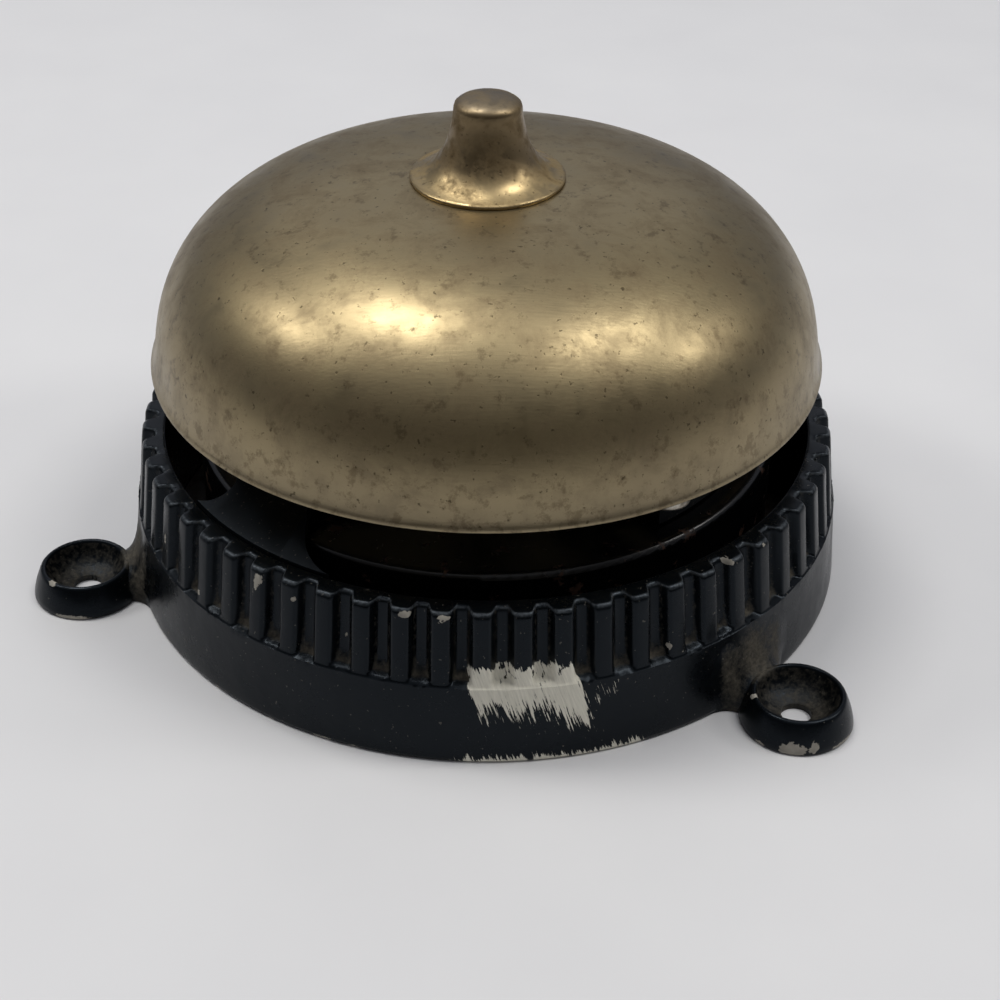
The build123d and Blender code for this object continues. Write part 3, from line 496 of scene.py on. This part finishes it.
# dust specks, a few to each square centimetre
speck_mask = add_node(tree, "ShaderNodeMapRange", {"Value": speck, "From Min": 0.735, "From Max": 0.77})
speck_share = add_node(tree, "ShaderNodeMath", {"Value": speck_mask, "Value_001": 0.5}, operation="MULTIPLY")
body = add_node(tree, "ShaderNodeMix", {
    "Factor": speck_share, "A": body, "B": colour("#6e6a62")}, data_type="RGBA")
# rubbed edges: a grey line round the rim's crest, partly japan thinned by rubbing and partly a painted
# highlight where the rounded edge catches the light
rim_edge_noise = add_node(tree, "ShaderNodeMapRange", {
    "Value": edge, "From Min": 0.35, "From Max": 0.6, "To Min": 0.15, "To Max": 0.75})
rim_edge_wear_and_highlight_share = add_node(tree, "ShaderNodeMath", {"Value": rim_edge_wear_and_highlight, "Value_001": rim_edge_noise}, operation="MULTIPLY")
body = add_node(tree, "ShaderNodeMix", {
    "Factor": rim_edge_wear_and_highlight_share, "A": body, "B": colour("#565b60")}, data_type="RGBA")
# packed dirt
dirt_sum = add_node(tree, "ShaderNodeMath", {"Value": dirt, "Value_001": grime}, operation="ADD")
dirt_mask = add_node(tree, "ShaderNodeMapRange", {"Value": dirt_sum, "From Min": 0.98, "From Max": 1.45})
dirt_tone = add_node(tree, "ShaderNodeMix", {
    "Factor": edge, "A": colour("#15130f"), "B": colour("#6b655a")}, data_type="RGBA")
body = add_node(tree, "ShaderNodeMix", {"Factor": dirt_mask, "A": body, "B": dirt_tone}, data_type="RGBA")
# chips through to the filler, and in the same light colour a painted glint on the first lug's top edge
chip_and_glint_noise = add_node(tree, "ShaderNodeMapRange", {
    "Value": edge, "From Min": 0.3, "From Max": 0.7, "To Min": -0.42, "To Max": 0.25})
chip_and_glint_sum = add_node(tree, "ShaderNodeMath", {"Value": chip_and_glint, "Value_001": chip_and_glint_noise}, operation="ADD")
chip_and_glint_mask = add_node(tree, "ShaderNodeMapRange", {"Value": chip_and_glint_sum, "From Min": 0.0, "From Max": 0.12})
chip_and_glint_tone = add_node(tree, "ShaderNodeMix", {
    "Factor": peel, "A": colour("#77736b"), "B": colour("#b9b4a9")}, data_type="RGBA")
body = add_node(tree, "ShaderNodeMix", {"Factor": chip_and_glint_mask, "A": body, "B": chip_and_glint_tone}, data_type="RGBA")
# wall paint, dragged downwards by the brush: streaks 0.5 mm wide and 5 mm long
streak_place = add_node(tree, "ShaderNodeVectorMath", {
    "Vector": unrolled, "Vector_001": streaks_per_mm}, operation="MULTIPLY")
streak = add_node(tree, "ShaderNodeTexNoise", {
    "Vector": streak_place, "Scale": 1.0, "Detail": 4.0, "Roughness": 0.62})
streak_range = add_node(tree, "ShaderNodeMapRange", {
    "Value": streak, "From Min": 0.3, "From Max": 0.7, "To Min": -1.0, "To Max": 0.7})
paint_sum = add_node(tree, "ShaderNodeMath", {"Value": paint, "Value_001": streak_range}, operation="ADD")
paint_mask = add_node(tree, "ShaderNodeMapRange", {"Value": paint_sum, "From Min": -0.02, "From Max": 0.16})
paint_tone = add_node(tree, "ShaderNodeMix", {
    "Factor": streak, "A": colour("#bcb9ab"), "B": colour("#faf6e8")}, data_type="RGBA")
body = add_node(tree, "ShaderNodeMix", {"Factor": paint_mask, "A": body, "B": paint_tone}, data_type="RGBA")
tree.links.new(body.outputs[2], shader.inputs["Base Color"])
# gloss: hard and bright where clean, dull in dirt, chips and paint
dull = add_node(tree, "ShaderNodeMath", {"Value": chip_and_glint_mask, "Value_001": paint_mask}, operation="MAXIMUM")
dull = add_node(tree, "ShaderNodeMath", {"Value": dull, "Value_001": dirt_mask}, operation="MAXIMUM")
clean = add_node(tree, "ShaderNodeMapRange", {
    "Value": dust, "From Min": 0.3, "From Max": 0.7, "To Min": 0.2, "To Max": 0.38})
roughness = add_node(tree, "ShaderNodeMix", {"Factor": dull, "A": clean, "B": 0.8}, data_type="FLOAT")
tree.links.new(roughness.outputs[0], shader.inputs["Roughness"])
peel_height = add_node(tree, "ShaderNodeMath", {"Value": peel, "Value_001": 0.35}, operation="MULTIPLY")
dirt_height = add_node(tree, "ShaderNodeMath", {"Value": dirt_mask, "Value_001": dirt}, operation="MULTIPLY")
height = add_node(tree, "ShaderNodeMath", {"Value": peel_height, "Value_001": dirt_height}, operation="ADD")
paint_height = add_node(tree, "ShaderNodeMath", {
    "Value": paint_mask, "Value_001": streak}, operation="MULTIPLY")
height = add_node(tree, "ShaderNodeMath", {"Value": height, "Value_001": paint_height}, operation="ADD")
chip_and_glint_depth = add_node(tree, "ShaderNodeMath", {"Value": chip_and_glint_mask, "Value_001": 0.7}, operation="MULTIPLY")
height = add_node(tree, "ShaderNodeMath", {"Value": height, "Value_001": chip_and_glint_depth}, operation="SUBTRACT")
bump = add_node(tree, "ShaderNodeBump", {"Height": height, "Strength": 0.55, "Distance": 0.12 * mm})
tree.links.new(bump.outputs[0], shader.inputs["Normal"])
set_enamel(shader)
base_ring.data.materials.clear()
base_ring.data.materials.append(japan)


# ---------------------------------------------------------------- back plate and its screws
# A disc of cold-rolled steel sprung into the foot of the ring, held by three countersunk screws. It closes
# the bell against the wall and carries the arbor's lower bush.
def carry(material, *names):
    """Gives CAD nodes their finish."""
    for name in names:
        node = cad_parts[name]
        node.data.materials.clear()
        node.data.materials.append(material)


def worn_metal(name, clean, stained, roughness, stain_mm, grain_mm, metallic=1.0, stain_share=0.5):
    """A plain metal with a fine grain, bright where it is clean and darker and duller in its stains."""
    material, tree, shader = new_material(name)
    place = add_node(tree, "ShaderNodeTexCoord").outputs["Object"]
    stain = add_node(tree, "ShaderNodeTexNoise", {
        "Vector": place, "Scale": 1 / (stain_mm * mm), "Detail": 6.0, "Roughness": 0.65})
    grain = add_node(tree, "ShaderNodeTexNoise", {
        "Vector": place, "Scale": 1 / (grain_mm * mm), "Detail": 2.0})
    spread = 0.12
    mask = add_node(tree, "ShaderNodeMapRange", {
        "Value": stain, "From Min": 1 - stain_share - spread, "From Max": 1 - stain_share + spread})
    tone = add_node(tree, "ShaderNodeMix", {
        "Factor": mask, "A": colour(clean), "B": colour(stained)}, data_type="RGBA")
    tree.links.new(tone.outputs[2], shader.inputs["Base Color"])
    gloss = add_node(tree, "ShaderNodeMapRange", {
        "Value": mask, "To Min": roughness, "To Max": min(1, roughness + 0.25)})
    tree.links.new(gloss.outputs[0], shader.inputs["Roughness"])
    bump = add_node(tree, "ShaderNodeBump", {"Height": grain, "Strength": 0.3, "Distance": 0.05 * mm})
    tree.links.new(bump.outputs[0], shader.inputs["Normal"])
    shader.inputs["Metallic"].default_value = metallic
    return material


# cold-rolled steel: grey, with a low sheen and freckles of rust
carry(worn_metal("cold_rolled_steel", "#84827e", "#5b4636", 0.38, 5.0, 0.3),
      "back_plate", "rotor_arm", "gong_seat")
# blued or plain screw steel, dulled by age
carry(worn_metal("dull_screw_steel", "#6f6c68", "#4a3c30", 0.42, 2.0, 0.2),
      "back_plate_screws", "spring_case_screws", "frame_screws", "second_keeper", "rotor_keeper",
      "striker_washers")
# turned steel: bright pins, studs and arbor with a film of old oil
carry(worn_metal("turned_steel", "#9c9a96", "#6b5f4e", 0.3, 3.0, 0.15),
      "winding_arbor", "hub_pin", "arbor_hub", "second_stud", "rotor_stud", "striker_pins", "spring_anchor",
      "second_pinion", "rotor_pinion")

# ---------------------------------------------------------------- spring case and mainspring
# A cup of drawn sheet steel, blackened and gone rusty in patches, over the return spring. The spring is a
# blued strip coiled between the arbor's hub and a pin in the back plate.
case_steel, tree, shader = new_material("blackened_sheet_steel")
place = add_node(tree, "ShaderNodeTexCoord").outputs["Object"]
patch_mm = 4.0
rust_grain_mm = 0.5
patch = add_node(tree, "ShaderNodeTexNoise", {
    "Vector": place, "Scale": 1 / (patch_mm * mm), "Detail": 6.0, "Roughness": 0.7})
fine = add_node(tree, "ShaderNodeTexNoise", {
    "Vector": place, "Scale": 1 / (rust_grain_mm * mm), "Detail": 3.0})
rust_mask = add_node(tree, "ShaderNodeMapRange", {"Value": patch, "From Min": 0.6, "From Max": 0.66})
rust_tone = add_node(tree, "ShaderNodeMix", {
    "Factor": fine, "A": colour("#2a1a12"), "B": colour("#5d4030")}, data_type="RGBA")
tone = add_node(tree, "ShaderNodeMix", {
    "Factor": rust_mask, "A": colour("#050607"), "B": rust_tone}, data_type="RGBA")
tree.links.new(tone.outputs[2], shader.inputs["Base Color"])
gloss = add_node(tree, "ShaderNodeMapRange", {"Value": rust_mask, "To Min": 0.26, "To Max": 0.8})
tree.links.new(gloss.outputs[0], shader.inputs["Roughness"])
bump = add_node(tree, "ShaderNodeBump", {"Height": fine, "Strength": 0.35, "Distance": 0.06 * mm})
tree.links.new(bump.outputs[0], shader.inputs["Normal"])
carry(case_steel, "spring_case")
carry(worn_metal("blued_spring_steel", "#2b3550", "#2a2522", 0.25, 4.0, 0.2), "mainspring")

# ---------------------------------------------------------------- movement frame
# A cast plate with two arms let down onto the ring, japanned with it. Its edges are softly
# rounded by the casting and the enamel.
frame_edge = 0.45
cast = bmesh.new()
cast.from_mesh(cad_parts["movement_frame"].data)
bmesh.ops.remove_doubles(cast, verts=cast.verts, dist=0.005 * mm)
bmesh.ops.dissolve_limit(cast, angle_limit=radians(1.5), verts=cast.verts, edges=cast.edges)
frame_mesh = bpy.data.meshes.new("movement_frame_casting")
cast.to_mesh(frame_mesh)
cast.free()
frame_casting = finish_object("movement_frame_casting", frame_mesh, "base", 30)
soften = frame_casting.modifiers.new("soften", "BEVEL")
soften.width = frame_edge * mm
soften.segments = 3
soften.limit_method = "ANGLE"
soften.angle_limit = radians(40)
even = frame_casting.modifiers.new("even", "WEIGHTED_NORMAL")
even.keep_sharp = False
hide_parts("movement_frame")
frame_japan, tree, shader = new_material("black_japan_dusty")
place = add_node(tree, "ShaderNodeTexCoord").outputs["Object"]
frame_dust_mm = 7
frame_speck_mm = 0.5
dust = add_node(tree, "ShaderNodeTexNoise", {
    "Vector": place, "Scale": 1 / (frame_dust_mm * mm), "Detail": 6.0, "Roughness": 0.65})
peel = add_node(tree, "ShaderNodeTexNoise", {"Vector": place, "Scale": 1 / (peel_mm * mm), "Detail": 2.0})
speck = add_node(tree, "ShaderNodeTexNoise", {
    "Vector": place, "Scale": 1 / (frame_speck_mm * mm), "Detail": 1.0})
tone = add_node(tree, "ShaderNodeMix", {
    "Factor": dust, "A": colour("#07090b"), "B": colour("#0e1114")}, data_type="RGBA")
speck_mask = add_node(tree, "ShaderNodeMapRange", {
    "Value": speck, "From Min": 0.7, "From Max": 0.76, "To Max": 0.45})
tone = add_node(tree, "ShaderNodeMix", {
    "Factor": speck_mask, "A": tone, "B": colour("#6a6258")}, data_type="RGBA")
tree.links.new(tone.outputs[2], shader.inputs["Base Color"])
gloss = add_node(tree, "ShaderNodeMapRange", {
    "Value": dust, "From Min": 0.3, "From Max": 0.7, "To Min": 0.36, "To Max": 0.55})
tree.links.new(gloss.outputs[0], shader.inputs["Roughness"])
bump = add_node(tree, "ShaderNodeBump", {"Height": peel, "Strength": 0.4, "Distance": 0.08 * mm})
tree.links.new(bump.outputs[0], shader.inputs["Normal"])
set_enamel(shader)
frame_casting.data.materials.clear()
frame_casting.data.materials.append(frame_japan)

# ---------------------------------------------------------------- wheels, collet and bushes
# Stamped and turned brass, tarnished to a dull tan under the gong.
carry(worn_metal("stamped_brass", "#b39a5e", "#7b6537", 0.34, 4.0, 0.25),
      "great_wheel", "second_wheel", "great_wheel_collet", "frame_bush", "lower_bush")

# ---------------------------------------------------------------- strikers
# Two loose steel hammers, worn bright on their heads by the gong.
carry(worn_metal("hammer_steel", "#b0aca2", "#7d7568", 0.24, 2.5, 0.15), "striker_a", "striker_b")

# ---------------------------------------------------------------- gong
# A bowl spun and drawn from 1.8 mm bell brass and polished, now a satin olive-gold patina with dark specks,
# handling stains and fine scratches. It hangs on the arbor by its crown.
gong_r = 50.15
gong_lip_r = 51.0
gong_lip_z = 35.4
gong_rise = 27.95
gong_wall = 1.8
gong_power_r = 0.62
gong_power_z = 0.87
gong_bore_r = 2.56
lip_flare = 0.85
gong_columns = 288


def dome(wall, steps, first):
    """Profile of the gong's outside, or of its inside with its wall taken off, from the wall to the bore."""
    profile = []
    for step in range(steps):
        t = pi / 2 * (first + (1 - first) * step / steps)
        r = (gong_r - wall) * cos(t) ** gong_power_r
        z = gong_lip_z + (gong_rise - wall) * sin(t) ** gong_power_z
        profile.append((r, z))
    last = profile[-1][0]
    profile += [(gong_bore_r + (last - gong_bore_r) * share, profile[-1][1] + 0.12 * (1 - share))
                for share in (0.66, 0.33, 0.0)]
    return profile


lip_edge = [(49.0, 35.5), (49.6, 35.4), (50.4, 35.4), (50.78, 35.46), (50.96, 35.62), (gong_lip_r, 35.82)]
wall = [(gong_r - 0.02, z) for z in (36.2, 36.6, 37.1, 37.7)] + dome(0, 46, 0.05)
outside = [(r + lip_flare * exp(-(z - 35.8) / 1.5), z) for r, z in wall]
inside = dome(gong_wall, 30, 0.05)
inside_lip = [(gong_r - gong_wall, 35.9), (gong_r - gong_wall + 0.05, 37.5)]


def spun(r, z, angle):
    """The slight out-of-round that hand spinning and years of knocks leave."""
    place = Vector((cos(angle), sin(angle), z / 50))
    return 0.07 * noise.noise(place * 1.3) * min(1, r / 40)


def make_object(name, points, faces, body, sharp_angle):
    """A mesh object from points in mm, smooth but for its sharp edges, riding on a body."""
    mesh = bpy.data.meshes.new(name)
    mesh.from_pydata([Vector(p) * mm for p in points], [], faces)
    mesh.update()
    return finish_object(name, mesh, body, sharp_angle)


gong_profile = lip_edge + outside + inside[::-1] + inside_lip[::-1]
gong = make_object("gong_bowl", *lathe(gong_profile, gong_columns, wobble=spun), "gong_assembly", 50)
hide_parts("gong")

brass, tree, shader = new_material("aged_bell_brass")
place = add_node(tree, "ShaderNodeTexCoord").outputs["Object"]
cloud_mm = 26.0
stain_mm = 7.0
speck_mm = 0.9
scratch_mm = 0.35
freckle_mm = 2.4
grey_reflection_top_z = 47
split = add_node(tree, "ShaderNodeSeparateXYZ", {"Vector": place})
cloud = add_node(tree, "ShaderNodeTexNoise", {
    "Vector": place, "Scale": 1 / (cloud_mm * mm), "Detail": 4.0, "Roughness": 0.55, "Distortion": 0.4})
stain = add_node(tree, "ShaderNodeTexNoise", {
    "Vector": place, "Scale": 1 / (stain_mm * mm), "Detail": 7.0, "Roughness": 0.68, "Distortion": 0.3})
speck = add_node(tree, "ShaderNodeTexNoise", {
    "Vector": place, "Scale": 1 / (speck_mm * mm), "Detail": 2.0, "Roughness": 0.6})
tone = add_node(tree, "ShaderNodeMix", {
    "Factor": cloud, "A": colour("#82745a"), "B": colour("#a89874")}, data_type="RGBA")
stain_mask = add_node(tree, "ShaderNodeMapRange", {
    "Value": stain, "From Min": 0.47, "From Max": 0.68, "To Max": 0.6})
tone = add_node(tree, "ShaderNodeMix", {
    "Factor": stain_mask, "A": tone, "B": colour("#6a5c47")}, data_type="RGBA")
# painted reflection: the lip and the lower wall are mixed towards grey, as the steep wall looks where it
# reflects the grey room
low_share = add_node(tree, "ShaderNodeMapRange", {
    "Value": split.outputs["Z"], "From Min": gong_lip_z * mm, "From Max": grey_reflection_top_z * mm, "To Min": 0.55,
    "To Max": 0.0})
tone = add_node(tree, "ShaderNodeMix", {
    "Factor": low_share, "A": tone, "B": colour("#8e8470")}, data_type="RGBA")
# freckles of verdigris-brown, thickest low on the wall
freckle = add_node(tree, "ShaderNodeTexNoise", {
    "Vector": place, "Scale": 1 / (freckle_mm * mm), "Detail": 4.0, "Roughness": 0.7})
freckle_low = add_node(tree, "ShaderNodeMath", {"Value": low_share, "Value_001": 0.12}, operation="MULTIPLY")
freckle_sum = add_node(tree, "ShaderNodeMath", {"Value": freckle, "Value_001": freckle_low}, operation="ADD")
freckle_mask = add_node(tree, "ShaderNodeMapRange", {
    "Value": freckle_sum, "From Min": 0.57, "From Max": 0.68, "To Max": 0.5})
tone = add_node(tree, "ShaderNodeMix", {
    "Factor": freckle_mask, "A": tone, "B": colour("#5c4e3a")}, data_type="RGBA")
speck_mask = add_node(tree, "ShaderNodeMapRange", {
    "Value": speck, "From Min": 0.66, "From Max": 0.73, "To Max": 0.65})
tone = add_node(tree, "ShaderNodeMix", {
    "Factor": speck_mask, "A": tone, "B": colour("#3a3022")}, data_type="RGBA")
tree.links.new(tone.outputs[2], shader.inputs["Base Color"])
# satin polish, duller where it is stained
gloss = add_node(tree, "ShaderNodeMapRange", {
    "Value": stain, "From Min": 0.3, "From Max": 0.75, "To Min": 0.3, "To Max": 0.5})
tree.links.new(gloss.outputs[0], shader.inputs["Roughness"])
# hairline scratches, drawn 0.35 mm wide so that they show
scratch_place = add_node(tree, "ShaderNodeVectorMath", {
    "Vector": place, "Vector_001": (0.08, 0.9, 1.0)}, operation="MULTIPLY")
scratch = add_node(tree, "ShaderNodeTexNoise", {
    "Vector": scratch_place, "Scale": 1 / (scratch_mm * mm), "Detail": 2.0})
pits = add_node(tree, "ShaderNodeMath", {"Value": speck_mask, "Value_001": 1.2}, operation="MULTIPLY")
height = add_node(tree, "ShaderNodeMath", {"Value": scratch, "Value_001": pits}, operation="SUBTRACT")
waves = add_node(tree, "ShaderNodeMath", {"Value": cloud, "Value_001": 3.0}, operation="MULTIPLY")
height = add_node(tree, "ShaderNodeMath", {"Value": height, "Value_001": waves}, operation="ADD")
bump = add_node(tree, "ShaderNodeBump", {"Height": height, "Strength": 0.25, "Distance": 0.05 * mm})
tree.links.new(bump.outputs[0], shader.inputs["Normal"])
shader.inputs["Metallic"].default_value = 1.0
gong.data.materials.append(brass)

# the oiled leather washer between the seat and the gong
carry(worn_metal("oiled_leather", "#4d3220", "#2e1d12", 0.6, 3.0, 0.4, metallic=0.0), "gong_washer")

# ---------------------------------------------------------------- winding knob
# A finger knob turned from brass bar, screwed onto the arbor over the gong's crown: a blunt shank on a wide
# trumpet foot, its skirt rubbed to bright gold and its top dull.
knob_top_z = 75.4
knob_profile = [
    (0, knob_top_z + 0.5), (1.2, knob_top_z + 0.46), (2.4, knob_top_z + 0.34), (3.3, knob_top_z + 0.14),
    (4.0, knob_top_z - 0.12), (4.45, knob_top_z - 0.42), (4.8, knob_top_z - 0.75), (4.95, knob_top_z - 1.25),
    (5.0, 73.4), (5.1, 72.6), (5.27, 71.7), (5.5, 70.7),
    (5.78, 69.7), (6.15, 68.6), (6.6, 67.6), (7.1, 66.75), (7.7, 65.95), (8.4, 65.25), (9.2, 64.66),
    (10.1, 64.22), (10.9, 63.95), (11.25, 63.84), (11.38, 63.7), (11.4, 63.5), (11.33, 63.3), (11.1, 63.24),
    (8.0, 63.36), (4.0, 63.4), (2.6, 63.42), (2.6, 71.9), (0, 72.2),
]
knob = make_object("winding_knob_turned", *lathe(knob_profile, 160), "gong_assembly", 50)
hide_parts("winding_knob")

knob_brass, tree, shader = new_material("rubbed_turned_brass")
knob_stain_mm = 3.5
knob_pit_mm = 0.7
bright_to_z = 64.2
dull_from_z = 67.5
place = add_node(tree, "ShaderNodeTexCoord").outputs["Object"]
split = add_node(tree, "ShaderNodeSeparateXYZ", {"Vector": place})
stain = add_node(tree, "ShaderNodeTexNoise", {
    "Vector": place, "Scale": 1 / (knob_stain_mm * mm), "Detail": 6.0, "Roughness": 0.65})
pit = add_node(tree, "ShaderNodeTexNoise", {"Vector": place, "Scale": 1 / (knob_pit_mm * mm), "Detail": 2.0})
shank_share = add_node(tree, "ShaderNodeMapRange", {
    "Value": split.outputs["Z"], "From Min": bright_to_z * mm,
    "From Max": dull_from_z * mm}, interpolation_type="SMOOTHSTEP")
tone = add_node(tree, "ShaderNodeMix", {
    "Factor": shank_share, "A": colour("#a8946e"), "B": colour("#857458")}, data_type="RGBA")
stain_mask = add_node(tree, "ShaderNodeMapRange", {
    "Value": stain, "From Min": 0.45, "From Max": 0.7, "To Max": 0.55})
tone = add_node(tree, "ShaderNodeMix", {
    "Factor": stain_mask, "A": tone, "B": colour("#655741")}, data_type="RGBA")
pit_mask = add_node(tree, "ShaderNodeMapRange", {
    "Value": pit, "From Min": 0.64, "From Max": 0.72, "To Max": 0.5})
tone = add_node(tree, "ShaderNodeMix", {
    "Factor": pit_mask, "A": tone, "B": colour("#2f2619")}, data_type="RGBA")
top_share = add_node(tree, "ShaderNodeMapRange", {
    "Value": split.outputs["Z"], "From Min": 74.6 * mm, "From Max": 75.3 * mm, "To Max": 0.7})
tone = add_node(tree, "ShaderNodeMix", {
    "Factor": top_share, "A": tone, "B": colour("#7a7060")}, data_type="RGBA")
tree.links.new(tone.outputs[2], shader.inputs["Base Color"])
gloss = add_node(tree, "ShaderNodeMapRange", {"Value": shank_share, "To Min": 0.32, "To Max": 0.36})
gloss = add_node(tree, "ShaderNodeMath", {"Value": gloss, "Value_001": stain_mask}, operation="ADD")
tree.links.new(gloss.outputs[0], shader.inputs["Roughness"])
height = add_node(tree, "ShaderNodeMath", {"Value": stain, "Value_001": pit_mask}, operation="SUBTRACT")
bump = add_node(tree, "ShaderNodeBump", {"Height": height, "Strength": 0.3, "Distance": 0.08 * mm})
tree.links.new(bump.outputs[0], shader.inputs["Normal"])
shader.inputs["Metallic"].default_value = 1.0
knob.data.materials.append(knob_brass)

# ---------------------------------------------------------------- floor and light
# A sheet of pale board in a plain room. Soft light comes from two panels at the left, two at the right and
# a faint one behind, with a brighter ceiling overhead.
floor_half = 6000
mottle_mm = 35
floor_mesh = bpy.data.meshes.new("floor")
floor_corners = [Vector((x * floor_half, y * floor_half, 0)) * mm
                 for x, y in ((-1, -1), (1, -1), (1, 1), (-1, 1))]
floor_mesh.from_pydata(floor_corners, [], [(0, 1, 2, 3)])
floor = bpy.data.objects.new("floor", floor_mesh)
bpy.context.scene.collection.objects.link(floor)
floor.location.z = -0.05 * mm
board, tree, shader = new_material("pale_board")
place = add_node(tree, "ShaderNodeTexCoord").outputs["Object"]
mottle = add_node(tree, "ShaderNodeTexNoise", {"Vector": place, "Scale": 1 / (mottle_mm * mm), "Detail": 5.0})
tone = add_node(tree, "ShaderNodeMix", {
    "Factor": mottle, "A": colour("#d6d6d9"), "B": colour("#dfdfe1")}, data_type="RGBA")
tree.links.new(tone.outputs[2], shader.inputs["Base Color"])
shader.inputs["Roughness"].default_value = 0.6
floor.data.materials.append(board)


def panel_light(name, azimuth, elevation, distance, width, length, watts, tint):
    """A soft panel that faces the bell, with its length across the line to it."""
    lamp_data = bpy.data.lights.new(name, "AREA")
    lamp_data.shape = "RECTANGLE"
    lamp_data.size = width
    lamp_data.size_y = length
    lamp_data.energy = watts
    lamp_data.color = colour(tint)[:3]
    lamp = bpy.data.objects.new(name, lamp_data)
    bpy.context.scene.collection.objects.link(lamp)
    flat = cos(radians(elevation))
    towards = Vector((flat * cos(radians(azimuth)), flat * sin(radians(azimuth)), sin(radians(elevation))))
    lamp.location = towards * distance
    aim = Vector((0, 0, 0.04)) - lamp.location
    lamp.rotation_euler = aim.to_track_quat("-Z", "Y").to_euler()


panel_light("left_low_panel", 170, 47, 0.9, 0.18, 0.22, 1.35, "#fffdf8")
panel_light("left_high_panel", 152, 72, 0.9, 0.28, 0.28, 2.6, "#fffdf8")
panel_light("right_high_panel", 357, 65, 0.9, 0.24, 0.28, 1.95, "#fffdf8")
panel_light("right_low_panel", 2, 39, 0.9, 0.18, 0.2, 0.9, "#fffdf8")
panel_light("back_panel", 92, 34, 1.3, 1.2, 0.5, 0.7, "#f6f8ff")

world = bpy.data.worlds.new("room")
world.use_nodes = True
bpy.context.scene.world = world
tree = world.node_tree
direction = add_node(tree, "ShaderNodeTexCoord").outputs["Generated"]
split = add_node(tree, "ShaderNodeSeparateXYZ", {"Vector": direction})
front = add_node(tree, "ShaderNodeMapRange", {"Value": split.outputs["Y"], "From Min": -0.9, "From Max": 0.5})
room = add_node(tree, "ShaderNodeMix", {
    "Factor": front, "A": colour("#55524e"), "B": colour("#9396a0")}, data_type="RGBA")
overhead = add_node(tree, "ShaderNodeMapRange", {
    "Value": split.outputs["Z"], "From Min": 0.6, "From Max": 1.0})
room = add_node(tree, "ShaderNodeMix", {
    "Factor": overhead, "A": room, "B": colour("#dfe1e6")}, data_type="RGBA")
tree.links.new(room.outputs[2], tree.nodes["Background"].inputs["Color"])
tree.nodes["Background"].inputs["Strength"].default_value = 0.72
bpy.context.scene.view_settings.view_transform = "Standard"
